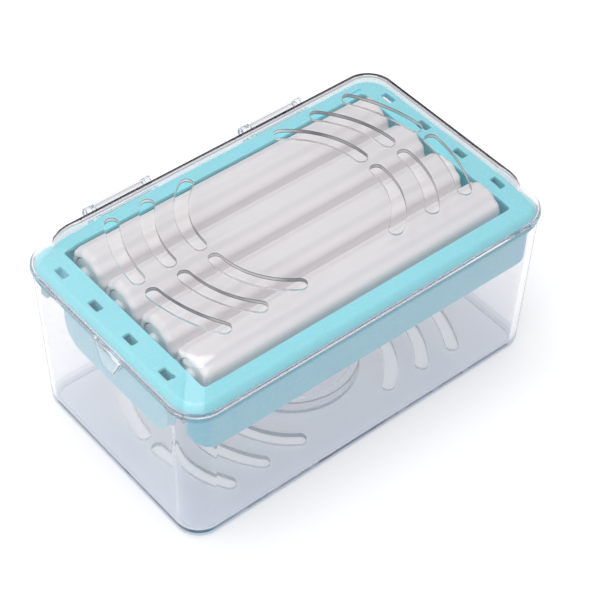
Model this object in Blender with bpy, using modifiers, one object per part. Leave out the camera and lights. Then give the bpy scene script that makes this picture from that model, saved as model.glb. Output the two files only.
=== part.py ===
"""Roller soap box: a clear box and hinged lid round a frame with four ribbed rollers.

Metres, +Z up. X runs along the long side, the hinges are on the +Y side.
Every piece is modelled about the middle of the box. One empty then sets the whole so that the
origin lies at the middle of the base of its outline, hinges included.
"""

import math

import bmesh
import bpy
from mathutils import Matrix, Vector

# Outline of the box at the lid's lower rim
RIM_LENGTH = 0.1350
RIM_DEPTH = 0.0825
RIM_RADIUS = 0.0100
RIM_PROUD = 0.0006

# Box body
SEAM_HEIGHT = 0.0549
LEAN_LENGTH = 0.00135
LEAN_DEPTH = 0.0024
BASE_TIGHTER = 0.0014
WALL = 0.0018
FLOOR = 0.0018
FOOT_HEIGHT = 0.0006
FOOT_WIDTH = 0.0024
BASE_ROUND = 0.0012
FLOOR_ROUND = 0.0015
LIP_WIDTH = 0.00255
LIP_HEIGHT = 0.0020
COLLAR_RADIUS = 0.0214
COLLAR_WALL = 0.0026
COLLAR_HEIGHT = 0.0049

# Lid
LID_RISE = 0.0121
LID_WALL = 0.0014
LID_BAND = 0.0012
LID_BAND_LEAN = 0.00015
LID_SLOPE = math.radians(33.0)
LID_FILLET = 0.0068
LID_TIGHTER_SHARE = 0.2
TAB_TOP = 0.0126
TAB_FOOT = 0.0056
TAB_RISE = 0.0014
TAB_DROP = 0.0079
TAB_THICK = 0.0012
TAB_ROUND = 0.0012
TAB_PLACE = -0.0040

# Curved slots, in the lid and in the floor
SLOT_WIDTH = 0.0042
SLOT_NEAR_SHARE = 0.085
SLOT_FAR_SHARE = 0.63
SLOT_SHARES = (
    (0.441, 0.259, 0.078),
    (0.599, 0.465, 0.053),
    (0.759, 0.652, 0.034),
)

# Roller frame
FRAME_GAP = 0.0004
FLANGE_RISE = 0.0026
FLANGE_THICK = 0.0014
FLANGE_ROUND = 0.0010
FLANGE_EDGE = 0.0003
WINDOW_RADIUS = 0.0014
WINDOW_GAP = 0.0010
WINDOW_SETBACK = 0.0006
SKIRT_WALL = 0.0016
LONG_PANEL_DROP = 0.0157
LONG_PANEL_REACH = 0.0035
SIDE_PANEL_DROP = 0.0168
SIDE_PANEL_LENGTH = 0.0488
SIDE_PANEL_PLACE = -0.0033
PANEL_ROUND = 0.0078
BEARING_WALL = 0.0026
BEARING_DROP = 0.0045
BEARING_POCKET = 0.00275
NOTCH_LENGTH = 0.0024
NOTCH_WIDTH = 0.0045
NOTCH_SHIFT = 0.0017
GATE_LENGTH = 0.0050
GATE_WIDTH = 0.0012
GATE_DEPTH = 0.0006
GATE_SHARE = 0.965

# Rollers
ROLLER_COUNT = 4
ROLLER_GAP = 0.0007
ROLLER_SIDE_GAP = 0.00365
ROLLER_END_GAP = 0.0026
ROLLER_TOP_GAP = 0.00415
ROLLER_ROUND = 0.0018
RIB_COUNT = 10
RIB_DEPTH = 0.0005
SLEEVE_WALL = 0.0021
PLUG_DEPTH = 0.0060
PLUG_SINK = 0.0002
HUB_RADIUS = 0.0022
PIN_RADIUS = 0.0016
PIN_CHAMFER = 0.0003
PIN_END_GAP = 0.0018
BEARING_PLAY = 0.00025
SNAP_PINCH = 0.0005

# Hinges
HINGE_SPREAD = 0.0580
HINGE_LENGTH = 0.0240
HINGE_OUT = 0.0028
HINGE_DOWN = 0.0002
HINGE_RADIUS = 0.0024
HINGE_PIN_RADIUS = 0.0013
HINGE_PLAY = 0.0003
HINGE_MOUTH = 0.0022
HINGE_MOUTH_ANGLE = math.radians(-60.0)
EAR_THICK = 0.0028
EAR_FOOT = 0.0062
ARM_THICK = 0.0018

# Fits shared by every piece
GAP = 0.0003
OVERRUN = 0.0008
WELD = 0.000005

# Fineness of the curved surfaces
CORNER_STEPS = 7
FILLET_STEPS = 4
ROUND_STEPS = 2
SLOT_STEPS = 6
CAP_STEPS = 5
PANEL_STEPS = 5
RIB_STEPS = 6
TURN_STEPS = 18
COLLAR_STEPS = 40

# Heights and half sizes that follow from the above
LID_FLOOR = SEAM_HEIGHT + GAP
LID_TOP = LID_FLOOR + LID_RISE
FLANGE_TOP = LID_FLOOR + FLANGE_RISE
FLANGE_UNDER = FLANGE_TOP - FLANGE_THICK
LONG_PANEL_BOTTOM = SEAM_HEIGHT - LONG_PANEL_DROP
SKIRT_BOTTOM = SEAM_HEIGHT - SIDE_PANEL_DROP
FLOOR_TOP = FOOT_HEIGHT + FLOOR
HINGE_Y = RIM_DEPTH / 2 + HINGE_OUT
HINGE_Z = SEAM_HEIGHT - HINGE_DOWN
EAR_SPACING = HINGE_LENGTH - EAR_THICK


def box_half(height):
    """Half length, half depth and corner radius of the box's outer wall at a height."""
    share = (SEAM_HEIGHT - height) / SEAM_HEIGHT
    return (RIM_LENGTH / 2 - RIM_PROUD - LEAN_LENGTH * share,
            RIM_DEPTH / 2 - RIM_PROUD - LEAN_DEPTH * share,
            RIM_RADIUS - RIM_PROUD - BASE_TIGHTER * share)


def lid_outer_profile():
    """The lid's outer line as (inset from the rim outline, rise above the lid's lower edge)."""
    turn = math.pi / 2 - LID_SLOPE
    reach = LID_FILLET * math.tan(turn / 2)
    corner_inset = LID_BAND_LEAN + (LID_RISE - LID_BAND) * math.tan(LID_SLOPE)
    centre = corner_inset + reach
    points = [(0.0, 0.0), (LID_BAND_LEAN, LID_BAND)]
    for step in range(FILLET_STEPS + 1):
        angle = turn * (1 - step / FILLET_STEPS)
        points.append((centre - LID_FILLET * math.sin(angle),
                       LID_RISE - LID_FILLET * (1 - math.cos(angle))))
    return points


def offset_profile(points, distance):
    """The line a wall's thickness inside a lid profile, mitred at its corners."""
    moved = [(points[0][0] + distance, points[0][1])]
    for before, here, after in zip(points, points[1:], points[2:]):
        first = Vector((here[0] - before[0], here[1] - before[1])).normalized()
        second = Vector((after[0] - here[0], after[1] - here[1])).normalized()
        inward = Vector((first.y + second.y, -first.x - second.x)).normalized()
        reach = distance / inward.dot(Vector((first.y, -first.x)))
        moved.append((here[0] + inward.x * reach, here[1] + inward.y * reach))
    moved.append((points[-1][0], points[-1][1] - distance))
    return moved


def lid_radius(inset):
    """Corner radius of the lid's outer surface where it stands inset from the rim outline."""
    return RIM_RADIUS - LID_TIGHTER_SHARE * inset


def under_lid(height):
    """How far inside the rim outline the frame may reach at a height and stay clear of the lid."""
    line = offset_profile(lid_outer_profile(), LID_WALL + FRAME_GAP)
    rise = height - LID_FLOOR
    for low, high in zip(line, line[1:]):
        if rise <= high[1]:
            share = max((rise - low[1]) / (high[1] - low[1]), 0.0)
            return low[0] + (high[0] - low[0]) * share
    return line[-1][0]


def frame_ring(inset, height):
    """A ring of the frame's flange, parallel to the lid round it."""
    return ring(RIM_LENGTH / 2 - inset, RIM_DEPTH / 2 - inset, RIM_RADIUS - inset, height)


def ring(half_x, half_y, radius, height):
    """Points round a rounded rectangle at a height, anticlockwise from the +X side."""
    radius = max(radius, GAP)
    points = []
    for quarter, (side_x, side_y) in enumerate(((1, 1), (-1, 1), (-1, -1), (1, -1))):
        centre = Vector((side_x * (half_x - radius), side_y * (half_y - radius), height))
        for step in range(CORNER_STEPS + 1):
            angle = math.pi / 2 * (quarter + step / CORNER_STEPS)
            points.append(centre + radius * Vector((math.cos(angle), math.sin(angle), 0.0)))
    return points


def skirt_half():
    """Outer half length, half depth and corner radius of the frame's skirt."""
    lip_x, lip_y, lip_radius = (size - LIP_WIDTH - FRAME_GAP for size in box_half(SEAM_HEIGHT))
    wall_x, wall_y, wall_radius = (size - WALL - FRAME_GAP for size in box_half(SKIRT_BOTTOM))
    return min(lip_x, wall_x), min(lip_y, wall_y), max(lip_radius, wall_radius)


SKIRT_X, SKIRT_Y, SKIRT_RADIUS = skirt_half()
BEARING_OUT = SKIRT_X - SKIRT_WALL - BEARING_POCKET
BEARING_IN = BEARING_OUT - BEARING_WALL
LONG_PANEL_EDGE = SKIRT_Y - LONG_PANEL_REACH
ROLLER_HALF = BEARING_IN - ROLLER_END_GAP
ROLLER_RADIUS = (SKIRT_Y - SKIRT_WALL - ROLLER_SIDE_GAP - ROLLER_GAP * (ROLLER_COUNT - 1) / 2) / ROLLER_COUNT
ROLLER_PITCH = 2 * ROLLER_RADIUS + ROLLER_GAP
ROLLER_Z = LID_TOP - LID_WALL - ROLLER_TOP_GAP - ROLLER_RADIUS
OUTER_ROLLER_Y = ROLLER_PITCH * (ROLLER_COUNT - 1) / 2
BORE_RADIUS = ROLLER_RADIUS - RIB_DEPTH - SLEEVE_WALL
WINDOW_X = BEARING_IN - WINDOW_SETBACK
ROLLER_AT_FLANGE = math.sqrt(max(ROLLER_RADIUS ** 2 - max(FLANGE_UNDER - ROLLER_Z, 0.0) ** 2, 0.0))
WINDOW_Y = OUTER_ROLLER_Y + ROLLER_AT_FLANGE + WINDOW_GAP


def clear_scene():
    for item in list(bpy.data.objects):
        bpy.data.objects.remove(item, do_unlink=True)


def new_collection(name):
    collection = bpy.data.collections.new(name)
    bpy.context.scene.collection.children.link(collection)
    return collection


def material(name, colour, roughness, alpha=1.0):
    made = bpy.data.materials.new(name)
    made.use_nodes = True
    shader = made.node_tree.nodes["Principled BSDF"]
    shader.inputs["Base Color"].default_value = (*colour, 1.0)
    shader.inputs["Roughness"].default_value = roughness
    shader.inputs["Metallic"].default_value = 0.0
    shader.inputs["Alpha"].default_value = alpha
    made.diffuse_color = (*colour, alpha)
    return made


def add(name, mesh, collection, parent, place=(0.0, 0.0, 0.0)):
    """An object of a mesh, placed in its parent's space."""
    made = bpy.data.objects.new(name, mesh)
    collection.objects.link(made)
    made.parent = parent
    made.location = place
    return made


def pivot(name, place, parent, collection):
    """An empty on a joint's axis; what hangs on it keeps the box's own coordinates."""
    made = add(name, None, collection, parent, place)
    made.empty_display_size = PIN_RADIUS
    return made


def finish(piece, look, crease=math.radians(35.0)):
    piece.data.materials.append(look)
    piece.data.shade_smooth()
    piece.data.set_sharp_from_angle(angle=crease)


def loft(name, rings, looped=False):
    """A closed mesh through rings of equally many points: capped at both ends, or joined end to end."""
    shape = bmesh.new()
    loops = [[shape.verts.new(point) for point in points] for points in rings]
    pairs = list(zip(loops, loops[1:]))
    if looped:
        pairs.append((loops[-1], loops[0]))
    else:
        shape.faces.new(loops[0])
        shape.faces.new(loops[-1])
    for low, high in pairs:
        for here in range(len(low)):
            after = (here + 1) % len(low)
            shape.faces.new((low[here], low[after], high[after], high[here]))
    bmesh.ops.recalc_face_normals(shape, faces=shape.faces)
    mesh = bpy.data.meshes.new(name)
    shape.to_mesh(mesh)
    shape.free()
    return mesh


def plate(name, outline, thickness):
    """A flat plate of an outline in XY, centred on z = 0, as a welded mesh."""
    curve = bpy.data.curves.new(name, "CURVE")
    curve.dimensions = "2D"
    curve.fill_mode = "BOTH"
    curve.extrude = thickness / 2
    curve.render_resolution_u = 0
    spline = curve.splines.new("POLY")
    spline.points.add(len(outline) - 1)
    for point, (x, y) in zip(spline.points, outline):
        point.co = (x, y, 0.0, 1.0)
    spline.use_cyclic_u = True
    source = bpy.data.objects.new(name, curve)
    bpy.context.scene.collection.objects.link(source)
    bpy.context.view_layer.update()
    mesh = bpy.data.meshes.new_from_object(source.evaluated_get(bpy.context.evaluated_depsgraph_get()))
    bpy.data.objects.remove(source, do_unlink=True)
    shape = bmesh.new()
    shape.from_mesh(mesh)
    bmesh.ops.remove_doubles(shape, verts=shape.verts, dist=WELD)
    bmesh.ops.recalc_face_normals(shape, faces=shape.faces)
    shape.to_mesh(mesh)
    shape.free()
    return mesh


def joined(name, meshes_and_places):
    """One mesh of several, each moved by its own matrix."""
    shape = bmesh.new()
    for mesh, matrix in meshes_and_places:
        part = mesh.copy()
        part.transform(matrix)
        if matrix.determinant() < 0:
            part.flip_normals()
        shape.from_mesh(part)
        bpy.data.meshes.remove(part)
    mesh = bpy.data.meshes.new(name)
    shape.to_mesh(mesh)
    shape.free()
    return mesh


def block(name, low, high):
    """A box between two corners."""
    shape = bmesh.new()
    size = Vector(high) - Vector(low)
    middle = (Vector(high) + Vector(low)) / 2
    bmesh.ops.create_cube(shape, size=1.0, matrix=Matrix.Translation(middle) @ Matrix.Diagonal((*size, 1.0)))
    mesh = bpy.data.meshes.new(name)
    shape.to_mesh(mesh)
    shape.free()
    return mesh


def rod(name, radius, length, steps=TURN_STEPS):
    """A cylinder along X, centred on the origin."""
    shape = bmesh.new()
    turn = Matrix.Rotation(math.pi / 2, 4, "Y")
    bmesh.ops.create_cone(shape, cap_ends=True, segments=steps, radius1=radius, radius2=radius,
                          depth=length, matrix=turn)
    mesh = bpy.data.meshes.new(name)
    shape.to_mesh(mesh)
    shape.free()
    return mesh


def combine(piece, name, mesh, operation, guides):
    """Join or cut a piece with a guide mesh in the same space, by a Boolean modifier."""
    guide = add(name, mesh, guides, piece.parent, piece.location)
    guide.hide_render = True
    guide.display_type = "WIRE"
    change = piece.modifiers.new(name, "BOOLEAN")
    change.operation = operation
    change.solver = "EXACT"
    change.object = guide


def arc(centre, radius, start, end, steps):
    """Points along an arc, both ends included."""
    angles = [start + (end - start) * step / steps for step in range(steps + 1)]
    return [(centre[0] + radius * math.cos(angle), centre[1] + radius * math.sin(angle)) for angle in angles]


def slot_outline(near, far, bulge):
    """The outline of a slot with round ends along the arc from near to far, bowed out by bulge."""
    near, far = Vector(near), Vector(far)
    chord = far - near
    out = Vector((chord.y, -chord.x)).normalized()
    radius = (chord.length ** 2 / 4 + bulge ** 2) / (2 * bulge)
    centre = (near + far) / 2 - out * (radius - bulge)
    start = math.atan2(near.y - centre.y, near.x - centre.x)
    end = math.atan2(far.y - centre.y, far.x - centre.x)
    half = SLOT_WIDTH / 2
    outer = arc(centre, radius + half, start, end, SLOT_STEPS)
    far_cap = arc(far, half, end, end + math.pi, CAP_STEPS)
    inner = arc(centre, radius - half, end, start, SLOT_STEPS)
    near_cap = arc(near, half, start + math.pi, start + 2 * math.pi, CAP_STEPS)
    return outer + far_cap[1:-1] + inner + near_cap[1:-1]


def slot_cutter(name, low, high):
    """All twelve slots between two heights: three in each quarter, mirrored across both middles."""
    places = []
    for near_share, far_share, bulge_share in SLOT_SHARES:
        near = (near_share * RIM_LENGTH / 2, SLOT_NEAR_SHARE * RIM_DEPTH / 2)
        far = (far_share * RIM_LENGTH / 2, SLOT_FAR_SHARE * RIM_DEPTH / 2)
        mesh = plate(name, slot_outline(near, far, bulge_share * RIM_DEPTH / 2), high - low)
        for side_x in (1, -1):
            for side_y in (1, -1):
                mirror = Matrix.Diagonal((side_x, side_y, 1.0, 1.0))
                places.append((mesh, Matrix.Translation((0.0, 0.0, (low + high) / 2)) @ mirror))
    return joined(name, places)


ACROSS = Matrix(((0, 0, 1, 0), (1, 0, 0, 0), (0, 1, 0, 0), (0, 0, 0, 1)))
UPRIGHT = Matrix(((1, 0, 0, 0), (0, 0, -1, 0), (0, 1, 0, 0), (0, 0, 0, 1)))


def along_x(place):
    """Turns a plate's outline into the YZ plane and moves it to a place along X."""
    return Matrix.Translation((place, 0.0, 0.0)) @ ACROSS


def along_y(place):
    """Turns a plate's outline into the XZ plane and moves it to a place along Y."""
    return Matrix.Translation((0.0, place, 0.0)) @ UPRIGHT


def hinge_places():
    return -HINGE_SPREAD / 2, HINGE_SPREAD / 2


def body_rings():
    """The box from the recess under its floor, round its foot and outside, over the rim and down inside."""
    def wall(height, inset):
        half_x, half_y, radius = box_half(height)
        return ring(half_x - inset, half_y - inset, radius - inset, height)

    rings = [wall(FOOT_HEIGHT, BASE_ROUND + FOOT_WIDTH),
             [point - Vector((0.0, 0.0, FOOT_HEIGHT)) for point in wall(FOOT_HEIGHT, BASE_ROUND + FOOT_WIDTH)],
             [point - Vector((0.0, 0.0, FOOT_HEIGHT)) for point in wall(FOOT_HEIGHT, BASE_ROUND)]]
    for step in range(ROUND_STEPS + 1):
        angle = math.pi / 2 * step / ROUND_STEPS
        rings.append(wall(FOOT_HEIGHT + BASE_ROUND * (1 - math.cos(angle)), BASE_ROUND * (1 - math.sin(angle))))
    rings.append(wall(SEAM_HEIGHT, 0.0))
    rings.append(wall(SEAM_HEIGHT, LIP_WIDTH))
    rings.append(wall(SEAM_HEIGHT - LIP_HEIGHT, LIP_WIDTH))
    rings.append(wall(SEAM_HEIGHT - LIP_HEIGHT - (LIP_WIDTH - WALL), WALL))
    for step in range(ROUND_STEPS + 1):
        angle = math.pi / 2 * step / ROUND_STEPS
        rings.append(wall(FLOOR_TOP + FLOOR_ROUND * (1 - math.sin(angle)),
                          WALL + FLOOR_ROUND * (1 - math.cos(angle))))
    return rings


def collar_mesh():
    """The round collar on the floor, sunk into the floor by the overrun."""
    def circle(radius, height):
        angles = [2 * math.pi * step / COLLAR_STEPS for step in range(COLLAR_STEPS)]
        return [Vector((radius * math.cos(angle), radius * math.sin(angle), height)) for angle in angles]

    low = FLOOR_TOP - OVERRUN
    high = FLOOR_TOP + COLLAR_HEIGHT
    inner = COLLAR_RADIUS - COLLAR_WALL
    return loft("collar", [circle(COLLAR_RADIUS, low), circle(COLLAR_RADIUS, high), circle(inner, high),
                           circle(inner, low)], looped=True)


def ear_outline():
    """An ear on the back wall: a round boss about the hinge axis on a foot that runs down the wall."""
    wall_y = box_half(HINGE_Z - EAR_FOOT)[1] - WALL / 2
    boss = arc((HINGE_Y, HINGE_Z), HINGE_RADIUS, math.radians(180.0), math.radians(-45.0), CAP_STEPS * 2)
    return [(wall_y, HINGE_Z - EAR_FOOT), (wall_y, HINGE_Z - GAP)] + boss


def hook_outline():
    """The lid's snap hook: a ring about the hinge pin, open at a mouth narrower than the pin."""
    bore = HINGE_PIN_RADIUS + HINGE_PLAY
    outer_half = math.asin(HINGE_MOUTH / 2 / HINGE_RADIUS)
    inner_half = math.asin(HINGE_MOUTH / 2 / bore)
    full = 2 * math.pi
    outer = arc((HINGE_Y, HINGE_Z), HINGE_RADIUS, HINGE_MOUTH_ANGLE + outer_half,
                HINGE_MOUTH_ANGLE + full - outer_half, TURN_STEPS)
    inner = arc((HINGE_Y, HINGE_Z), bore, HINGE_MOUTH_ANGLE + full - inner_half,
                HINGE_MOUTH_ANGLE + inner_half, TURN_STEPS)
    return outer + inner


def tab_outline():
    """The thumb tab: a tongue that narrows downwards, with rounded lower corners."""
    top = LID_FLOOR + TAB_RISE
    foot = LID_FLOOR - TAB_DROP
    half_foot = TAB_FOOT / 2 - TAB_ROUND
    right = arc((TAB_PLACE + half_foot, foot + TAB_ROUND), TAB_ROUND, math.radians(-90.0),
                math.radians(-20.0), ROUND_STEPS)
    left = [(2 * TAB_PLACE - y, z) for y, z in reversed(right)]
    return left + right + [(TAB_PLACE + TAB_TOP / 2, LID_FLOOR), (TAB_PLACE + TAB_TOP / 2, top),
                           (TAB_PLACE - TAB_TOP / 2, top), (TAB_PLACE - TAB_TOP / 2, LID_FLOOR)]


def make_body(pieces, guides, root, look):
    body = add("box_body", loft("box_body", body_rings()), pieces, root)
    combine(body, "collar", collar_mesh(), "UNION", guides)
    ear = plate("ear", ear_outline(), EAR_THICK)
    ears = [(ear, along_x(place + side * EAR_SPACING / 2)) for place in hinge_places() for side in (-1, 1)]
    combine(body, "ears", joined("ears", ears), "UNION", guides)
    pin = rod("hinge_pin", HINGE_PIN_RADIUS, EAR_SPACING)
    pins = [(pin, Matrix.Translation((place, HINGE_Y, HINGE_Z))) for place in hinge_places()]
    combine(body, "hinge_pins", joined("hinge_pins", pins), "UNION", guides)
    slots = slot_cutter("floor_slots", -OVERRUN, FLOOR_TOP + OVERRUN)
    combine(body, "floor_slots", slots, "DIFFERENCE", guides)
    finish(body, look)


def lid_rings():
    """The lid from the middle of its top, down outside to its lower edge and up again inside."""
    outer = lid_outer_profile()
    inner = offset_profile(outer, LID_WALL)

    def station(inset, rise, radius):
        return ring(RIM_LENGTH / 2 - inset, RIM_DEPTH / 2 - inset, radius, LID_FLOOR + rise)

    rings = [station(inset, rise, lid_radius(inset)) for inset, rise in reversed(outer)]
    for (inset, rise), (outer_inset, _) in zip(inner, outer):
        rings.append(station(inset, rise, lid_radius(outer_inset) - (inset - outer_inset)))
    return rings


def make_lid(pieces, guides, root, look):
    hinge = pivot("lid_hinge_axis", (0.0, HINGE_Y, HINGE_Z), root, pieces)
    lid = add("lid", loft("lid", lid_rings()), pieces, hinge, (0.0, -HINGE_Y, -HINGE_Z))
    hook_length = HINGE_LENGTH - 2 * EAR_THICK - 2 * GAP
    hook = plate("hook", hook_outline(), hook_length)
    arm_low = (-hook_length / 2, RIM_DEPTH / 2 - LID_WALL / 2, LID_FLOOR)
    arm_high = (hook_length / 2, HINGE_Y, HINGE_Z + HINGE_RADIUS)
    bore = HINGE_PIN_RADIUS + HINGE_PLAY
    arm = block("arm", (arm_low[0], arm_low[1], max(arm_low[2], HINGE_Z + HINGE_RADIUS - ARM_THICK)), arm_high)
    socket = rod("socket", bore, hook_length + 2 * OVERRUN)
    for name, mesh, turn in (("arms", arm, None), ("sockets", socket, "DIFFERENCE"), ("hooks", hook, None)):
        places = []
        for place in hinge_places():
            shift = Matrix.Translation((place, 0.0, 0.0))
            if mesh is socket:
                shift = Matrix.Translation((place, HINGE_Y, HINGE_Z))
            if mesh is hook:
                shift = along_x(place)
            places.append((mesh, shift))
        combine(lid, name, joined(name, places), turn or "UNION", guides)
    tab = plate("tab", tab_outline(), TAB_THICK)
    tab_x = box_half(SEAM_HEIGHT)[0] + GAP + TAB_THICK / 2
    tabs = [(tab, along_x(side * tab_x)) for side in (-1, 1)]
    combine(lid, "tabs", joined("tabs", tabs), "UNION", guides)
    slots = slot_cutter("lid_slots", LID_TOP - LID_WALL - OVERRUN, LID_TOP + OVERRUN)
    combine(lid, "lid_slots", slots, "DIFFERENCE", guides)
    finish(lid, look)


def frame_rings():
    """The frame from under the window's edge, over the flange, down the skirt outside and up inside."""
    edge = FLANGE_EDGE
    rings = [ring(WINDOW_X, WINDOW_Y, WINDOW_RADIUS, FLANGE_UNDER),
             ring(WINDOW_X, WINDOW_Y, WINDOW_RADIUS, FLANGE_TOP - edge),
             ring(WINDOW_X + edge, WINDOW_Y + edge, WINDOW_RADIUS + edge, FLANGE_TOP)]
    shoulder = FLANGE_TOP - FLANGE_ROUND
    rings.append(frame_ring(under_lid(FLANGE_TOP) + FLANGE_ROUND, FLANGE_TOP))
    rings.append(frame_ring(under_lid(FLANGE_TOP - FLANGE_ROUND / 4) + FLANGE_ROUND / 3,
                            FLANGE_TOP - FLANGE_ROUND / 4))
    rings.append(frame_ring(under_lid(shoulder), shoulder))
    rings.append(frame_ring(under_lid(LID_FLOOR + LID_BAND), LID_FLOOR + LID_BAND))
    rings.append(frame_ring(under_lid(LID_FLOOR), LID_FLOOR))
    rings.append(ring(SKIRT_X, SKIRT_Y, SKIRT_RADIUS, LID_FLOOR))
    rings.append(ring(SKIRT_X, SKIRT_Y, SKIRT_RADIUS, SKIRT_BOTTOM))
    inner = (SKIRT_X - SKIRT_WALL, SKIRT_Y - SKIRT_WALL, SKIRT_RADIUS - SKIRT_WALL)
    rings.append(ring(*inner, SKIRT_BOTTOM))
    rings.append(ring(*inner, FLANGE_UNDER))
    return rings


def side_gap_outline(side):
    """The gap between a side panel's rounded end and the long panel that turns the corner, in YZ."""
    end = side * SIDE_PANEL_PLACE + SIDE_PANEL_LENGTH / 2
    low = SKIRT_BOTTOM - OVERRUN
    turn = arc((end - PANEL_ROUND, SKIRT_BOTTOM + PANEL_ROUND), PANEL_ROUND, math.radians(-90.0), 0.0,
               PANEL_STEPS)
    points = [(LONG_PANEL_EDGE, LID_FLOOR), (LONG_PANEL_EDGE, low), (end - PANEL_ROUND, low)] + turn
    return [(side * y, z) for y, z in points + [(end, LID_FLOOR)]]


def long_trim_outline():
    """What is cut away under and beside a long panel with its rounded lower corners, in XZ."""
    depth = SKIRT_RADIUS - LONG_PANEL_REACH
    end = SKIRT_X - SKIRT_RADIUS + math.sqrt(SKIRT_RADIUS ** 2 - depth ** 2)
    edge = SKIRT_X + OVERRUN
    low = SKIRT_BOTTOM - OVERRUN
    high = LONG_PANEL_BOTTOM + PANEL_ROUND
    turn = arc((end - PANEL_ROUND, high), PANEL_ROUND, math.radians(-90.0), 0.0, PANEL_STEPS)
    half = [(0.0, LONG_PANEL_BOTTOM)] + turn + [(edge, high), (edge, low)]
    return half + [(-x, z) for x, z in reversed(half[1:])]


def open_corners(frame, guides):
    """Opens the skirt's corners beside the side panels and trims the long panels."""
    low_x = BEARING_OUT + GAP
    high_x = SKIRT_X + OVERRUN
    gaps = []
    for side_y in (-1, 1):
        gap = plate("side_gap", side_gap_outline(side_y), high_x - low_x)
        gaps += [(gap, along_x(side_x * (low_x + high_x) / 2)) for side_x in (-1, 1)]
    combine(frame, "side_gaps", joined("side_gaps", gaps), "DIFFERENCE", guides)
    low_y = LONG_PANEL_EDGE - OVERRUN
    high_y = SKIRT_Y + OVERRUN
    trim = plate("long_trim", long_trim_outline(), high_y - low_y)
    trims = [(trim, along_y(side_y * (low_y + high_y) / 2)) for side_y in (-1, 1)]
    combine(frame, "long_trims", joined("long_trims", trims), "DIFFERENCE", guides)


def roller_places():
    return [ROLLER_PITCH * number - OUTER_ROLLER_Y for number in range(ROLLER_COUNT)]


def make_frame(pieces, guides, root, look):
    frame = add("roller_frame", loft("roller_frame", frame_rings(), looped=True), pieces, root)
    open_corners(frame, guides)
    across = SKIRT_Y - SKIRT_WALL / 2
    bearing_wall = block("bearing_wall", (BEARING_IN, -across, ROLLER_Z - BEARING_DROP),
                         (BEARING_OUT, across, FLANGE_TOP - FLANGE_THICK / 2))
    both = [Matrix.Diagonal((side, 1.0, 1.0, 1.0)) for side in (1, -1)]
    combine(frame, "bearing_walls", joined("bearing_walls", [(bearing_wall, m) for m in both]), "UNION", guides)
    bore = rod("bore", PIN_RADIUS + BEARING_PLAY, BEARING_WALL + 2 * OVERRUN)
    snap = PIN_RADIUS - SNAP_PINCH / 2
    depth = BEARING_WALL / 2 + OVERRUN
    mouth = block("mouth", (-depth, -snap, -BEARING_DROP - OVERRUN), (depth, snap, 0.0))
    notch_x = BEARING_OUT + BEARING_POCKET / 2
    notch = block("notch", (notch_x - NOTCH_LENGTH / 2, -NOTCH_WIDTH / 2, FLANGE_UNDER - OVERRUN),
                  (notch_x + NOTCH_LENGTH / 2, NOTCH_WIDTH / 2, FLANGE_TOP + OVERRUN))
    bores, mouths, notches = [], [], []
    for side in (1, -1):
        for place in roller_places():
            seat = Matrix.Translation((side * (BEARING_IN + BEARING_OUT) / 2, place, ROLLER_Z))
            bores.append((bore, seat))
            mouths.append((mouth, seat))
            shift = Matrix.Translation((0.0, place + NOTCH_SHIFT, 0.0))
            notches.append((notch, Matrix.Diagonal((side, 1.0, 1.0, 1.0)) @ shift))
    combine(frame, "bearing_bores", joined("bearing_bores", bores), "DIFFERENCE", guides)
    combine(frame, "bearing_mouths", joined("bearing_mouths", mouths), "DIFFERENCE", guides)
    combine(frame, "notches", joined("notches", notches), "DIFFERENCE", guides)
    gate_x = WINDOW_X * GATE_SHARE
    gate_y = WINDOW_Y + FLANGE_EDGE + GATE_WIDTH
    gate = block("gate", (gate_x - GATE_LENGTH / 2, gate_y - GATE_WIDTH / 2, FLANGE_TOP - GATE_DEPTH),
                 (gate_x + GATE_LENGTH / 2, gate_y + GATE_WIDTH / 2, FLANGE_TOP + OVERRUN))
    combine(frame, "gate", gate, "DIFFERENCE", guides)
    finish(frame, look)


def rib_radius(angle):
    """The sleeve's outer radius: round-topped ribs with shallow valleys between them."""
    return ROLLER_RADIUS - RIB_DEPTH * (1 - math.cos(RIB_COUNT * angle)) / 2


def sleeve_mesh():
    """A ribbed tube along X with rounded ends."""
    count = RIB_COUNT * RIB_STEPS
    angles = [2 * math.pi * step / count for step in range(count)]

    def outer(x, shrink):
        return [Vector((x, (rib_radius(a) - shrink) * math.cos(a), (rib_radius(a) - shrink) * math.sin(a)))
                for a in angles]

    def bore(x):
        return [Vector((x, BORE_RADIUS * math.cos(a), BORE_RADIUS * math.sin(a))) for a in angles]

    quarter = [math.pi / 2 * step / ROUND_STEPS for step in range(ROUND_STEPS + 1)]
    rings = [bore(-ROLLER_HALF)]
    for side, angles_in_turn in ((-1, quarter), (1, quarter[::-1])):
        for angle in angles_in_turn:
            x = side * (ROLLER_HALF - ROLLER_ROUND * (1 - math.cos(angle)))
            rings.append(outer(x, ROLLER_ROUND * (1 - math.sin(angle))))
    rings.append(bore(ROLLER_HALF))
    return loft("sleeve", rings, looped=True)


def plug_profile():
    """The right end plug as (radius, distance along X from the roller's middle), from its pin's tip inwards."""
    tip = SKIRT_X - SKIRT_WALL - PIN_END_GAP
    hub = BEARING_IN - GAP
    face = ROLLER_HALF - PLUG_SINK
    spigot = BORE_RADIUS - GAP
    return [(0.0, tip), (PIN_RADIUS - PIN_CHAMFER, tip), (PIN_RADIUS, tip - PIN_CHAMFER), (PIN_RADIUS, hub),
            (HUB_RADIUS, hub), (HUB_RADIUS, face), (spigot, face), (spigot, face - PLUG_DEPTH),
            (0.0, face - PLUG_DEPTH)]


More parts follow.
